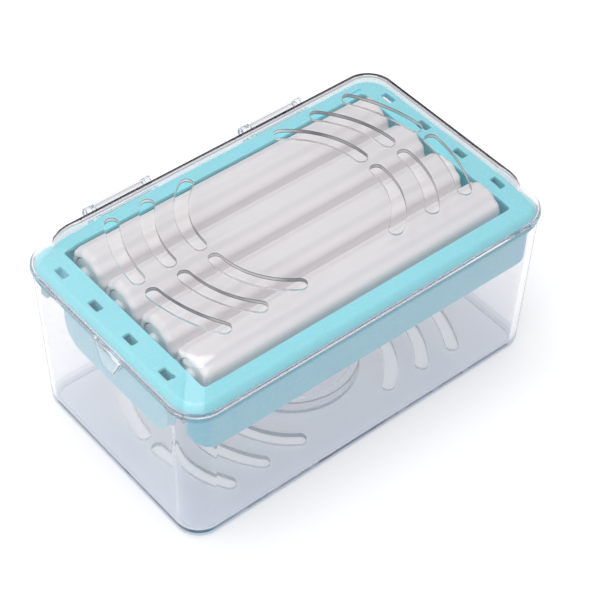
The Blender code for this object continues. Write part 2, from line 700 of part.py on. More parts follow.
def make_plug(name, collection, parent, look):
    """A plug turned about Z from its profile, then laid along X."""
    mesh = bpy.data.meshes.new(name)
    profile = plug_profile()
    mesh.from_pydata([(radius, 0.0, along) for radius, along in profile],
                     [(here, here + 1) for here in range(len(profile) - 1)], [])
    plug = add(name, mesh, collection, parent)
    turn = plug.modifiers.new("turned", "SCREW")
    turn.axis = "Z"
    turn.steps = TURN_STEPS
    turn.render_steps = TURN_STEPS
    turn.use_merge_vertices = True
    turn.merge_threshold = WELD
    plug.rotation_euler = (0.0, math.pi / 2, 0.0)
    finish(plug, look)
    return plug


def make_roller(number, place, pieces, root, white, pin_look):
    axis = pivot(f"roller_{number}_axis", (0.0, place, ROLLER_Z), root, pieces)
    sleeve = add(f"roller_{number}_sleeve", sleeve_mesh(), pieces, axis)
    finish(sleeve, white, crease=math.radians(50.0))
    make_plug(f"roller_{number}_right_plug", pieces, axis, pin_look)
    left = make_plug(f"roller_{number}_left_plug", pieces, axis, pin_look)
    left.rotation_euler = (0.0, -math.pi / 2, 0.0)


def build():
    clear_scene()
    pieces = new_collection("roller_soap_box")
    guides = new_collection("guides")
    front = -RIM_DEPTH / 2
    back = HINGE_Y + HINGE_RADIUS
    root = add("soap_box", None, pieces, None, (0.0, -(front + back) / 2, 0.0))
    clear = material("clear_plastic", (0.86, 0.86, 0.92), 0.06, alpha=0.3)
    make_body(pieces, guides, root, clear)
    make_lid(pieces, guides, root, material("clear_lid", (0.90, 0.90, 0.95), 0.05, alpha=0.25))
    make_frame(pieces, guides, root, material("cyan_plastic", (0.36, 0.77, 0.88), 0.25))
    white = material("roller_white", (0.88, 0.86, 0.87), 0.35)
    pin_look = material("milky_plastic", (0.80, 0.82, 0.86), 0.30)
    for number, place in enumerate(roller_places(), start=1):
        make_roller(number, place, pieces, root, white, pin_look)
    bpy.context.view_layer.update()


build()
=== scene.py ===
"""Looks of the roller soap box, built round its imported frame.

Metres, +Z up. Pieces are modelled about the middle of the box, as in the part's source, and then
moved by CENTRE_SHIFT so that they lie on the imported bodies.
"""

import math

import bmesh
import bpy
from mathutils import Matrix, Vector


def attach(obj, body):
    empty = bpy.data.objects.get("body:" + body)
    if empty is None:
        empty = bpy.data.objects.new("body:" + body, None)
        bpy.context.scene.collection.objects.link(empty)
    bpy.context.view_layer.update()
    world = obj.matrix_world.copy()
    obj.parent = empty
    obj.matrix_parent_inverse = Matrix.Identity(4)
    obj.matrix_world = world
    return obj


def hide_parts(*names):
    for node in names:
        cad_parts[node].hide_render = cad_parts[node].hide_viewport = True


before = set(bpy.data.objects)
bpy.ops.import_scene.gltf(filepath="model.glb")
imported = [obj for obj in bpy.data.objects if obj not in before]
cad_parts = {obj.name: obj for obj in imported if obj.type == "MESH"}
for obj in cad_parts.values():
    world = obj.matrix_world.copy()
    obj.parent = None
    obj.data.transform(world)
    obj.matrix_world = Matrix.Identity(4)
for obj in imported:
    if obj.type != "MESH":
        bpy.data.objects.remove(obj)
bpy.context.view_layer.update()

# Outline of the box at the lid's lower rim
RIM_LENGTH = 0.1350
RIM_DEPTH = 0.0825
RIM_RADIUS = 0.0100
RIM_PROUD = 0.0006

# Box body
SEAM_HEIGHT = 0.0549
LEAN_LENGTH = 0.00135
LEAN_DEPTH = 0.0024
BASE_TIGHTER = 0.0014
WALL = 0.0018
FLOOR = 0.0018
FOOT_HEIGHT = 0.0006
FOOT_WIDTH = 0.0024
BASE_ROUND = 0.0012
FLOOR_ROUND = 0.0015
LIP_WIDTH = 0.00255
LIP_HEIGHT = 0.0020
COLLAR_RADIUS = 0.0214
COLLAR_WALL = 0.0026
COLLAR_HEIGHT = 0.0049

# Lid
LID_RISE = 0.0121
LID_WALL = 0.0014
LID_BAND = 0.0012
LID_BAND_LEAN = 0.00015
LID_SLOPE = math.radians(33.0)
LID_FILLET = 0.0068
LID_TIGHTER_SHARE = 0.2
TAB_TOP = 0.0126
TAB_FOOT = 0.0056
TAB_RISE = 0.0014
TAB_DROP = 0.0079
TAB_THICK = 0.0012
TAB_ROUND = 0.0012
TAB_PLACE = -0.0040
TAB_TURN = (math.radians(-90.0), math.radians(-20.0))

# Curved slots, in the lid and in the floor
SLOT_WIDTH = 0.0042
SLOT_NEAR_SHARE = 0.085
SLOT_FAR_SHARE = 0.63
SLOT_SHARES = (
    (0.441, 0.259, 0.078),
    (0.599, 0.465, 0.053),
    (0.759, 0.652, 0.034),
)

# Roller frame
FRAME_GAP = 0.0004
FLANGE_RISE = 0.0026
FLANGE_THICK = 0.0014
FLANGE_ROUND = 0.0010
WINDOW_RADIUS = 0.0014
WINDOW_GAP = 0.0010
WINDOW_SETBACK = 0.0006
SKIRT_WALL = 0.0016
LONG_PANEL_DROP = 0.0157
LONG_PANEL_REACH = 0.0035
SIDE_PANEL_DROP = 0.0168
SIDE_PANEL_LENGTH = 0.0488
SIDE_PANEL_PLACE = -0.0033
PANEL_ROUND = 0.0078
BEARING_WALL = 0.0026
BEARING_DROP = 0.0045
BEARING_POCKET = 0.00275
NOTCH_LENGTH = 0.0024
NOTCH_WIDTH = 0.0045
NOTCH_SHIFT = 0.0017
NOTCH_ROUND = 0.0004
GATE_LENGTH = 0.0050
GATE_WIDTH = 0.0012
GATE_DEPTH = 0.0006
GATE_SHARE = 0.965
FLANGE_EDGE = 0.0003

# Rollers
ROLLER_COUNT = 4
ROLLER_GAP = 0.0007
ROLLER_SIDE_GAP = 0.00365
ROLLER_END_GAP = 0.0026
ROLLER_TOP_GAP = 0.00415
ROLLER_ROUND = 0.0018
RIB_COUNT = 10
RIB_DEPTH = 0.0005
SLEEVE_WALL = 0.0021
PLUG_DEPTH = 0.0060
PLUG_SINK = 0.0002
HUB_RADIUS = 0.0022
PIN_RADIUS = 0.0016
PIN_CHAMFER = 0.0003
PIN_END_GAP = 0.0018
BEARING_PLAY = 0.00025
SNAP_PINCH = 0.0005

# Hinges
HINGE_SPREAD = 0.0580
HINGE_LENGTH = 0.0240
HINGE_OUT = 0.0028
HINGE_DOWN = 0.0002
HINGE_RADIUS = 0.0024
HINGE_PIN_RADIUS = 0.0013
HINGE_PLAY = 0.0003
HINGE_MOUTH = 0.0022
HINGE_MOUTH_ANGLE = math.radians(-60.0)
EAR_THICK = 0.0028
EAR_FOOT = 0.0062
EAR_TURN = (math.radians(180.0), math.radians(-45.0))
ARM_THICK = 0.0018

# Fits shared by every piece
GAP = 0.0003
OVERRUN = 0.0008
WELD = 0.000005

# Rounding of the moulded edges
EDGE = 0.00025
SOFT_EDGE = 0.0004
SLOT_EDGE = 0.00003
PLATE_EDGE = 0.00035
EVEN_ROUND = 0.5

# Where a second material starts: how far a face's normal points up or down, and how far out it lies.
# The tilt is that of the painted dark line, a painted shade, on the middle of the lid's rounded top edge.
STEEP = 0.97
HALF_STEEP = 0.6
SHALLOW = 0.2
PAINTED_DARK_LINE_TILT = (0.72, 0.95)
SLOT_FIELD_SHARES = (0.85, 0.75)

# Fineness of the curved surfaces
CORNER_STEPS = 18
FILLET_STEPS = 16
ROUND_STEPS = 8
EDGE_STEPS = 3
SLOT_STEPS = 24
CAP_STEPS = 12
PANEL_STEPS = 16
RIB_STEPS = 12
TURN_STEPS = 40
COLLAR_STEPS = 120

# Heights and half sizes that follow from the above
LID_FLOOR = SEAM_HEIGHT + GAP
LID_TOP = LID_FLOOR + LID_RISE
FLANGE_TOP = LID_FLOOR + FLANGE_RISE
FLANGE_UNDER = FLANGE_TOP - FLANGE_THICK
LONG_PANEL_BOTTOM = SEAM_HEIGHT - LONG_PANEL_DROP
SKIRT_BOTTOM = SEAM_HEIGHT - SIDE_PANEL_DROP
FLOOR_TOP = FOOT_HEIGHT + FLOOR
HINGE_Y = RIM_DEPTH / 2 + HINGE_OUT
HINGE_Z = SEAM_HEIGHT - HINGE_DOWN
EAR_SPACING = HINGE_LENGTH - EAR_THICK
CENTRE_SHIFT = (RIM_DEPTH / 2 - HINGE_Y - HINGE_RADIUS) / 2

# Camera, fitted to the photograph's outline, seam and rim
CAMERA_AZIMUTH = math.radians(-40.15)
CAMERA_ELEVATION = math.radians(45.79)
CAMERA_ROLL = math.radians(1.1)
CAMERA_NEAR = 0.01
CAMERA_DISTANCE = 0.58635
CAMERA_RIGHT = 0.00339
CAMERA_UP = -0.00438
CAMERA_AIM = (0.0, 0.0, 0.035)
FOCAL_PIXELS = 1968.25
FRAME_PIXELS = 600
SENSOR = 36.0

# Colours, as linear light
CLEAR_TINT = (0.955, 0.953, 0.975)
LID_TINT = (0.975, 0.975, 0.985)
# Painted shade: the dark colours that edge-on faces of the lid's top edge and of the box turn toward
LID_PAINTED_EDGE_SHADE = (0.10, 0.09, 0.11)
BOX_PAINTED_EDGE_SHADE = (0.35, 0.35, 0.38)
# Painted shade on the walls of the lid's slots, darkest at their rims
SLOT_RIM_PAINTED_SHADE = (0.11, 0.11, 0.115)
SLOT_WALL_PAINTED_SHADE = (0.26, 0.26, 0.27)
SLOT_WALL_LIGHT = (0.85, 0.85, 0.86)
# Painted shade on the collar's rounded rim and on the walls of the floor's slots
COLLAR_RIM_PAINTED_SHADE = (0.16, 0.18, 0.20)
FLOOR_SLOT_WALL_PAINTED_SHADE = (0.74, 0.77, 0.80)
# Painted highlight: the pale colour of the foot rim and the rounded edge above it
FOOT_PAINTED_HIGHLIGHT = (0.96, 0.96, 0.98)
FLOOR_TINT = (0.965, 0.97, 0.98)
BOX_PASSING = (0.78, 0.815, 0.865)
FLOOR_PASSING = (0.70, 0.765, 0.84)
LID_PASSING = (0.97, 0.97, 0.975)
# Painted highlight: the pale colour of the lid's rough lower rim, which draws the seam's bright line
FROSTED_PAINTED_HIGHLIGHT = (0.90, 0.90, 0.92)
CYAN = (0.34, 0.86, 0.94)
WHITE = (0.89, 0.865, 0.87)
MILKY = (0.80, 0.84, 0.86)
FLOOR_COLOUR = (0.80, 0.80, 0.80)
CLEAR_IOR = 1.53

# How edge-on a clear face must stand before its painted dark edge shade starts, and where it is full
LID_EDGE_ON = (0.46, 0.66)
BOX_EDGE_ON = (0.84, 0.97)

# The mirrorings after which a ray passes clear plastic, and shares of light that always pass
MOST_MIRRORINGS = 2.5
BAND_STRAIGHT = 0.85
FOOT_STRAIGHT = 0.15

# The walls of the lid's slots, painted grey as shade: where their painted streaks fade in, and how far from
# both edges, as shares of the wall's height, their painted dark rims fade out
HALF_WAY = 0.5
SLOT_STREAKS = (0.38, 0.62)
SLOT_RIM_SHARES = (0.12, 0.3)

# Finish of each plastic. A pattern is its scale in features per metre, its detail and, where it isn't
# alike along every axis, its stretch. A mottle is a pattern and how dark its darkest patches are, and a
# skin is a pattern with the strength and depth of its bump. What is deep lets light spread inside, by
# the weight and reach given.
CLEAR_ROUGH = 0.03
CLEAR_SCUFFS = (900.0, 4.0, (1.0, 0.3, 1.0))
CLEAR_SCUFF_ROUGH = (0.015, 0.05)
CLEAR_SKIN = ((45.0, 1.0), 0.15, 0.0004)
HALF_CLEAR = 0.5
FROSTED_ROUGH = 0.5
FROSTED_MOTTLE = ((500.0, 2.0), 0.95)
SLOT_ROUGH = 0.3
SLOT_PATTERN = (60.0, 1.0)
SHADED_ROUGH = 0.2
SHADED_MOTTLE = ((90.0, 1.0), 0.7)
FOOT_ROUGH = 0.35
FOOT_CLEAR = 0.1
FOOT_MOTTLE = ((200.0, 2.0), 0.93)
CYAN_ROUGH = 0.22
CYAN_DEEP = (0.35, 0.004)
CYAN_MOTTLE = ((70.0, 3.0), 0.94)
CYAN_PATCHES = (1200.0, 3.0)
CYAN_PATCH_ROUGH = (0.18, 0.30)
CYAN_SKIN = ((160.0, 2.0), 0.2, 0.0001)
WHITE_ROUGH = 0.38
WHITE_MOTTLE = ((60.0, 4.0), 0.95)
WHITE_PATCHES = (700.0, 3.0)
WHITE_PATCH_ROUGH = (0.32, 0.48)
WHITE_SKIN = ((2600.0, 3.0, (3.0, 0.5, 0.5)), 0.15, 0.00005)
MILKY_ROUGH = 0.4
MILKY_DEEP = (0.4, 0.002)
MILKY_MOTTLE = ((300.0, 3.0), 0.92)
MIDDLE_RANGE = (0.3, 0.7)
CREASE = math.radians(38.0)
ROLLER_CREASE = math.radians(50.0)

# Studio
FLOOR_LIFT = 0.37
FLOOR_ROUGH = 0.9
FLOOR_SIZE = 6.0
FLOOR_DROP = 0.00025
WORLD_LIGHT = (0.48, 0.475, 0.485)
LAMPS = (
    # name, place, aim, size, power
    ("main_softbox", (-0.13, 0.18, 1.30), (0.0, 0.0, 0.03), 0.8, 5.4),
    ("side_softbox", (-0.72, 0.46, 0.34), (0.0, 0.0, 0.06), 1.0, 1.0),
    ("front_softbox", (-0.60, -0.50, 0.98), (0.0, 0.0, 0.04), 1.2, 5.2),
)


def box_half(height):
    """Half length, half depth and corner radius of the box's outer wall at a height."""
    share = (SEAM_HEIGHT - height) / SEAM_HEIGHT
    return (RIM_LENGTH / 2 - RIM_PROUD - LEAN_LENGTH * share,
            RIM_DEPTH / 2 - RIM_PROUD - LEAN_DEPTH * share,
            RIM_RADIUS - RIM_PROUD - BASE_TIGHTER * share)


def lid_outer_profile():
    """The lid's outer line as (inset from the rim outline, rise above the lid's lower edge)."""
    turn = math.pi / 2 - LID_SLOPE
    reach = LID_FILLET * math.tan(turn / 2)
    corner_inset = LID_BAND_LEAN + (LID_RISE - LID_BAND) * math.tan(LID_SLOPE)
    centre = corner_inset + reach
    points = [(0.0, 0.0), (LID_BAND_LEAN, LID_BAND)]
    for step in range(FILLET_STEPS + 1):
        angle = turn * (1 - step / FILLET_STEPS)
        points.append((centre - LID_FILLET * math.sin(angle),
                       LID_RISE - LID_FILLET * (1 - math.cos(angle))))
    return points


def offset_profile(points, distance):
    """The line a wall's thickness inside a lid profile, mitred at its corners."""
    moved = [(points[0][0] + distance, points[0][1])]
    for before, here, after in zip(points, points[1:], points[2:]):
        first = Vector((here[0] - before[0], here[1] - before[1])).normalized()
        second = Vector((after[0] - here[0], after[1] - here[1])).normalized()
        inward = Vector((first.y + second.y, -first.x - second.x)).normalized()
        reach = distance / inward.dot(Vector((first.y, -first.x)))
        moved.append((here[0] + inward.x * reach, here[1] + inward.y * reach))
    moved.append((points[-1][0], points[-1][1] - distance))
    return moved


def lid_radius(inset):
    """Corner radius of the lid's outer surface where it stands inset from the rim outline."""
    return RIM_RADIUS - LID_TIGHTER_SHARE * inset


def under_lid(height):
    """How far inside the rim outline the frame may reach at a height and stay clear of the lid."""
    line = offset_profile(lid_outer_profile(), LID_WALL + FRAME_GAP)
    rise = height - LID_FLOOR
    for low, high in zip(line, line[1:]):
        if rise <= high[1]:
            share = max((rise - low[1]) / (high[1] - low[1]), 0.0)
            return low[0] + (high[0] - low[0]) * share
    return line[-1][0]


def skirt_half():
    """Outer half length, half depth and corner radius of the frame's skirt."""
    lip_x, lip_y, lip_radius = (size - LIP_WIDTH - FRAME_GAP for size in box_half(SEAM_HEIGHT))
    wall_x, wall_y, wall_radius = (size - WALL - FRAME_GAP for size in box_half(SKIRT_BOTTOM))
    return min(lip_x, wall_x), min(lip_y, wall_y), max(lip_radius, wall_radius)


SKIRT_X, SKIRT_Y, SKIRT_RADIUS = skirt_half()
BEARING_OUT = SKIRT_X - SKIRT_WALL - BEARING_POCKET
BEARING_IN = BEARING_OUT - BEARING_WALL
LONG_PANEL_EDGE = SKIRT_Y - LONG_PANEL_REACH
ROLLER_HALF = BEARING_IN - ROLLER_END_GAP
ROLLER_GAPS = ROLLER_GAP * (ROLLER_COUNT - 1)
ROLLER_RADIUS = (SKIRT_Y - SKIRT_WALL - ROLLER_SIDE_GAP - ROLLER_GAPS / 2) / ROLLER_COUNT
ROLLER_PITCH = 2 * ROLLER_RADIUS + ROLLER_GAP
ROLLER_Z = LID_TOP - LID_WALL - ROLLER_TOP_GAP - ROLLER_RADIUS
OUTER_ROLLER_Y = ROLLER_PITCH * (ROLLER_COUNT - 1) / 2
BORE_RADIUS = ROLLER_RADIUS - RIB_DEPTH - SLEEVE_WALL
WINDOW_X = BEARING_IN - WINDOW_SETBACK
ROLLER_AT_FLANGE = math.sqrt(max(ROLLER_RADIUS ** 2 - max(FLANGE_UNDER - ROLLER_Z, 0.0) ** 2, 0.0))
WINDOW_Y = OUTER_ROLLER_Y + ROLLER_AT_FLANGE + WINDOW_GAP


def ring(sizes):
    """Points round a rounded rectangle of (half length, half depth, radius, height)."""
    half_x, half_y, radius, height = sizes
    radius = max(radius, GAP)
    points = []
    for quarter, (side_x, side_y) in enumerate(((1, 1), (-1, 1), (-1, -1), (1, -1))):
        centre = Vector((side_x * (half_x - radius), side_y * (half_y - radius), height))
        for step in range(CORNER_STEPS + 1):
            angle = math.pi / 2 * (quarter + step / CORNER_STEPS)
            points.append(centre + radius * Vector((math.cos(angle), math.sin(angle), 0.0)))
    return points


def soften(corners, looped=False):
    """Rounds a line of ring sizes. Each corner is (sizes, cut); its round starts a cut before it."""
    rows = []
    count = len(corners)
    for here, (sizes, cut) in enumerate(corners):
        point = Vector(sizes)
        if not cut or not looped and here in (0, count - 1):
            rows.append(point)
            continue
        ends = []
        for other in (corners[here - 1][0], corners[(here + 1) % count][0]):
            way = Vector(other) - point
            ends.append(point + way * (cut / math.hypot(way[0], way[-1])))
        for step in range(EDGE_STEPS + 1):
            share = step / EDGE_STEPS
            rows.append(ends[0].lerp(point, share).lerp(point.lerp(ends[1], share), share))
    return rows


def mesh_of(name, shape):
    bmesh.ops.recalc_face_normals(shape, faces=shape.faces)
    mesh = bpy.data.meshes.new(name)
    shape.to_mesh(mesh)
    shape.free()
    return mesh


def loft(name, rings, looped=False):
    """A closed mesh through rings of equally many points: capped at both ends, or joined end to end."""
    shape = bmesh.new()
    loops = [[shape.verts.new(point) for point in points] for points in rings]
    pairs = list(zip(loops, loops[1:]))
    if looped:
        pairs.append((loops[-1], loops[0]))
    else:
        shape.faces.new(loops[0])
        shape.faces.new(loops[-1])
    for low, high in pairs:
        for here in range(len(low)):
            after = (here + 1) % len(low)
            shape.faces.new((low[here], low[after], high[after], high[here]))
    return mesh_of(name, shape)


def lathe(name, profile):
    """A closed body turned about X from (radius, distance along X) points, from the axis to the axis."""
    angles = [2 * math.pi * step / TURN_STEPS for step in range(TURN_STEPS)]
    shape = bmesh.new()
    first = shape.verts.new((profile[0][1], 0.0, 0.0))
    last = shape.verts.new((profile[-1][1], 0.0, 0.0))
    loops = [[shape.verts.new((along, radius * math.cos(a), radius * math.sin(a))) for a in angles]
             for radius, along in profile[1:-1]]
    for here in range(TURN_STEPS):
        after = (here + 1) % TURN_STEPS
        shape.faces.new((first, loops[0][here], loops[0][after]))
        shape.faces.new((last, loops[-1][after], loops[-1][here]))
        for low, high in zip(loops, loops[1:]):
            shape.faces.new((low[here], low[after], high[after], high[here]))
    return mesh_of(name, shape)


def linked(name, data):
    """A new object of some data, in the scene."""
    made = bpy.data.objects.new(name, data)
    bpy.context.scene.collection.objects.link(made)
    return made


def mesh_after_modifiers(piece):
    bpy.context.view_layer.update()
    return bpy.data.meshes.new_from_object(piece.evaluated_get(bpy.context.evaluated_depsgraph_get()))


def plate(name, outline, thickness, edge):
    """A flat plate of an outline in XY, centred on z = 0, its edges rounded if asked, as a welded mesh."""
    curve = bpy.data.curves.new(name, "CURVE")
    curve.dimensions = "2D"
    curve.fill_mode = "BOTH"
    curve.extrude = thickness / 2 - edge
    curve.bevel_depth = edge
    curve.bevel_resolution = EDGE_STEPS - 1
    curve.offset = -edge
    curve.render_resolution_u = 0
    spline = curve.splines.new("POLY")
    spline.points.add(len(outline) - 1)
    for point, (x, y) in zip(spline.points, outline):
        point.co = (x, y, 0.0, 1.0)
    spline.use_cyclic_u = True
    source = linked(name, curve)
    mesh = mesh_after_modifiers(source)
    bpy.data.objects.remove(source, do_unlink=True)
    shape = bmesh.new()
    shape.from_mesh(mesh)
    bmesh.ops.remove_doubles(shape, verts=shape.verts, dist=WELD)
    return mesh_of(name, shape)


def joined(name, meshes_and_places):
    """One mesh of several, each moved by its own matrix."""
    shape = bmesh.new()
    for mesh, matrix in meshes_and_places:
        part = mesh.copy()
        part.transform(matrix)
        if matrix.determinant() < 0:
            part.flip_normals()
        shape.from_mesh(part)
        bpy.data.meshes.remove(part)
    mesh = bpy.data.meshes.new(name)
    shape.to_mesh(mesh)
    shape.free()
    return mesh


def block(name, low, high, edge=EDGE):
    """A box between two corners with rounded edges."""
    shape = bmesh.new()
    size = Vector(high) - Vector(low)
    middle = (Vector(high) + Vector(low)) / 2
    fit = Matrix.Translation(middle) @ Matrix.Diagonal((*size, 1.0))
    bmesh.ops.create_cube(shape, size=1.0, matrix=fit)
    if edge:
        bmesh.ops.bevel(shape, geom=list(shape.edges), offset=edge, segments=EDGE_STEPS,
                        profile=EVEN_ROUND, affect="EDGES")
    return mesh_of(name, shape)


def rod(name, radius, length):
    """A cylinder along X, centred on the origin."""
    shape = bmesh.new()
    turn = Matrix.Rotation(math.pi / 2, 4, "Y")
    bmesh.ops.create_cone(shape, cap_ends=True, segments=TURN_STEPS, radius1=radius, radius2=radius,
                          depth=length, matrix=turn)
    return mesh_of(name, shape)


def combine(piece, mesh, operation):
    """Joins or cuts a piece with a mesh in the same space, and keeps only the result."""
    guide = linked("guide", mesh)
    guide.location = piece.location
    change = piece.modifiers.new("combine", "BOOLEAN")
    change.operation = operation
    change.solver = "EXACT"
    change.object = guide
    done = mesh_after_modifiers(piece)
    piece.modifiers.remove(change)
    piece.data = done
    bpy.data.objects.remove(guide, do_unlink=True)


def piece_of(name, mesh, place=(0.0, CENTRE_SHIFT, 0.0)):
    made = linked(name, mesh)
    made.location = place
    return made


def finish(piece, look, body, node, crease=CREASE):
    """Smooth faces with crisp creases, its material, and the body that it moves with."""
    shape = bmesh.new()
    shape.from_mesh(piece.data)
    bmesh.ops.remove_doubles(shape, verts=shape.verts, dist=WELD)
    shape.to_mesh(piece.data)
    shape.free()
    piece.data.materials.clear()
    piece.data.materials.append(look)
    piece.data.shade_smooth()
    piece.data.set_sharp_from_angle(angle=crease)
    flat = piece.modifiers.new("flat_faces", "WEIGHTED_NORMAL")
    flat.keep_sharp = True
    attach(piece, body)
    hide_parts(node)


def face_look(piece, look, chosen):
    """Gives a second material to the faces that chosen(middle, normal) picks."""
    piece.data.materials.append(look)
    last = len(piece.data.materials) - 1
    for face in piece.data.polygons:
        if chosen(face.center, face.normal):
            face.material_index = last


def arc(centre, radius, start, end, steps):
    """Points along an arc, both ends included."""
    angles = [start + (end - start) * step / steps for step in range(steps + 1)]
    return [(centre[0] + radius * math.cos(angle), centre[1] + radius * math.sin(angle))
            for angle in angles]


def slot_outline(near, far, bulge, grow):
    """The outline of a slot with round ends along the arc from near to far, bowed out by bulge."""
    near, far = Vector(near), Vector(far)
    chord = far - near
    out = Vector((chord.y, -chord.x)).normalized()
    radius = (chord.length ** 2 / 4 + bulge ** 2) / (2 * bulge)
    centre = (near + far) / 2 - out * (radius - bulge)
    start = math.atan2(near.y - centre.y, near.x - centre.x)
    end = math.atan2(far.y - centre.y, far.x - centre.x)
    half = SLOT_WIDTH / 2 + grow
    outer = arc(centre, radius + half, start, end, SLOT_STEPS)
    far_cap = arc(far, half, end, end + math.pi, CAP_STEPS)
    inner = arc(centre, radius - half, end, start, SLOT_STEPS)
    near_cap = arc(near, half, start + math.pi, start + 2 * math.pi, CAP_STEPS)
    return outer + far_cap[1:-1] + inner + near_cap[1:-1]


def flared_cutter(name, outline, low, high, edge):
    """A cutter through a plate between two heights that also rounds the plate's edges over."""
    rows = [(low - OVERRUN, edge)]
    quarter = [math.pi / 2 * step / EDGE_STEPS for step in range(EDGE_STEPS + 1)]
    rows += [(low + edge * math.sin(angle), edge * (1 - math.cos(angle - math.pi / 2)))
             for angle in quarter]
    rows += [(high - edge * math.sin(angle), edge * (1 - math.cos(angle - math.pi / 2)))
             for angle in reversed(quarter)]
    rows.append((high + OVERRUN, edge))
    return loft(name, [[Vector((x, y, height)) for x, y in outline(grow)] for height, grow in rows])


def slot_cutter(name, low, high):
    """All twelve slots between two heights: three in each quarter, mirrored across both middles."""
    places = []
    for near_share, far_share, bulge_share in SLOT_SHARES:
        near = (near_share * RIM_LENGTH / 2, SLOT_NEAR_SHARE * RIM_DEPTH / 2)
        far = (far_share * RIM_LENGTH / 2, SLOT_FAR_SHARE * RIM_DEPTH / 2)

        def outline(grow, near=near, far=far, bulge=bulge_share * RIM_DEPTH / 2):
            return slot_outline(near, far, bulge, grow)

        mesh = flared_cutter(name, outline, low, high, SLOT_EDGE)
        for side_x in (1, -1):
            for side_y in (1, -1):
                places.append((mesh, Matrix.Diagonal((side_x, side_y, 1.0, 1.0))))
    return joined(name, places)


ACROSS = Matrix(((0, 0, 1, 0), (1, 0, 0, 0), (0, 1, 0, 0), (0, 0, 0, 1)))
UPRIGHT = Matrix(((1, 0, 0, 0), (0, 0, -1, 0), (0, 1, 0, 0), (0, 0, 0, 1)))


def along_x(place):
    """Turns a plate's outline into the YZ plane and moves it to a place along X."""
    return Matrix.Translation((place, 0.0, 0.0)) @ ACROSS


def along_y(place):
    """Turns a plate's outline into the XZ plane and moves it to a place along Y."""
    return Matrix.Translation((0.0, place, 0.0)) @ UPRIGHT


def hinge_places():
    return -HINGE_SPREAD / 2, HINGE_SPREAD / 2


def roller_places():
    return [ROLLER_PITCH * number - OUTER_ROLLER_Y for number in range(ROLLER_COUNT)]


def body_rings():
    """The box from the recess under its floor, round its foot and outside, over the rim and down inside."""
    def wall(height, inset, level=None):
        half_x, half_y, radius = box_half(height)
        return half_x - inset, half_y - inset, radius - inset, height if level is None else level

    corners = [(wall(FOOT_HEIGHT, BASE_ROUND + FOOT_WIDTH), 0.0),
               (wall(FOOT_HEIGHT, BASE_ROUND + FOOT_WIDTH, 0.0), EDGE),
               (wall(FOOT_HEIGHT, BASE_ROUND, 0.0), EDGE)]
    for step in range(ROUND_STEPS + 1):
        angle = math.pi / 2 * step / ROUND_STEPS
        corners.append((wall(FOOT_HEIGHT + BASE_ROUND * (1 - math.cos(angle)),
                             BASE_ROUND * (1 - math.sin(angle))), 0.0))
    corners += [(wall(SEAM_HEIGHT, 0.0), EDGE),
                (wall(SEAM_HEIGHT, LIP_WIDTH), EDGE),
                (wall(SEAM_HEIGHT - LIP_HEIGHT, LIP_WIDTH), EDGE),
                (wall(SEAM_HEIGHT - LIP_HEIGHT - (LIP_WIDTH - WALL), WALL), EDGE)]
    for step in range(ROUND_STEPS + 1):
        angle = math.pi / 2 * step / ROUND_STEPS
        corners.append((wall(FLOOR_TOP + FLOOR_ROUND * (1 - math.sin(angle)),
                             WALL + FLOOR_ROUND * (1 - math.cos(angle))), 0.0))
    return [ring(sizes) for sizes in soften(corners)]


def collar_mesh():
    """The round collar on the floor, with a rounded top, sunk into the floor."""
    def circle(radius, height):
        angles = [2 * math.pi * step / COLLAR_STEPS for step in range(COLLAR_STEPS)]
        return [Vector((radius * math.cos(angle), radius * math.sin(angle), height)) for angle in angles]

    low = FLOOR_TOP - OVERRUN
    high = FLOOR_TOP + COLLAR_HEIGHT
    inner = COLLAR_RADIUS - COLLAR_WALL
    corners = [((COLLAR_RADIUS, low), 0.0), ((COLLAR_RADIUS, high), SOFT_EDGE), ((inner, high), SOFT_EDGE),
               ((inner, low), 0.0)]
    return loft("collar", [circle(*sizes) for sizes in soften(corners)], looped=True)


def ear_outline():
    """An ear on the back wall: a round boss about the hinge axis on a foot that runs down the wall."""
    wall_y = box_half(HINGE_Z - EAR_FOOT)[1] - WALL / 2
    boss = arc((HINGE_Y, HINGE_Z), HINGE_RADIUS, *EAR_TURN, CAP_STEPS * 2)
    return [(wall_y, HINGE_Z - EAR_FOOT), (wall_y, HINGE_Z - GAP)] + boss


def hook_outline():
    """The lid's snap hook: a ring about the hinge pin, open at a mouth narrower than the pin."""
    bore = HINGE_PIN_RADIUS + HINGE_PLAY
    outer_half = math.asin(HINGE_MOUTH / 2 / HINGE_RADIUS)
    inner_half = math.asin(HINGE_MOUTH / 2 / bore)
    full = 2 * math.pi
    outer = arc((HINGE_Y, HINGE_Z), HINGE_RADIUS, HINGE_MOUTH_ANGLE + outer_half,
                HINGE_MOUTH_ANGLE + full - outer_half, TURN_STEPS)
    inner = arc((HINGE_Y, HINGE_Z), bore, HINGE_MOUTH_ANGLE + full - inner_half,
                HINGE_MOUTH_ANGLE + inner_half, TURN_STEPS)
    return outer + inner


def tab_outline():
    """The thumb tab: a tongue that narrows downwards, with rounded lower corners."""
    top = LID_FLOOR + TAB_RISE
    foot = LID_FLOOR - TAB_DROP
    half_foot = TAB_FOOT / 2 - TAB_ROUND
    right = arc((TAB_PLACE + half_foot, foot + TAB_ROUND), TAB_ROUND, *TAB_TURN, ROUND_STEPS)
    left = [(2 * TAB_PLACE - y, z) for y, z in reversed(right)]
    return left + right + [(TAB_PLACE + TAB_TOP / 2, LID_FLOOR), (TAB_PLACE + TAB_TOP / 2, top),
                           (TAB_PLACE - TAB_TOP / 2, top), (TAB_PLACE - TAB_TOP / 2, LID_FLOOR)]


def on_floor(middle, normal):
    return middle.z < FLOOR_TOP + WELD and abs(normal.z) > STEEP


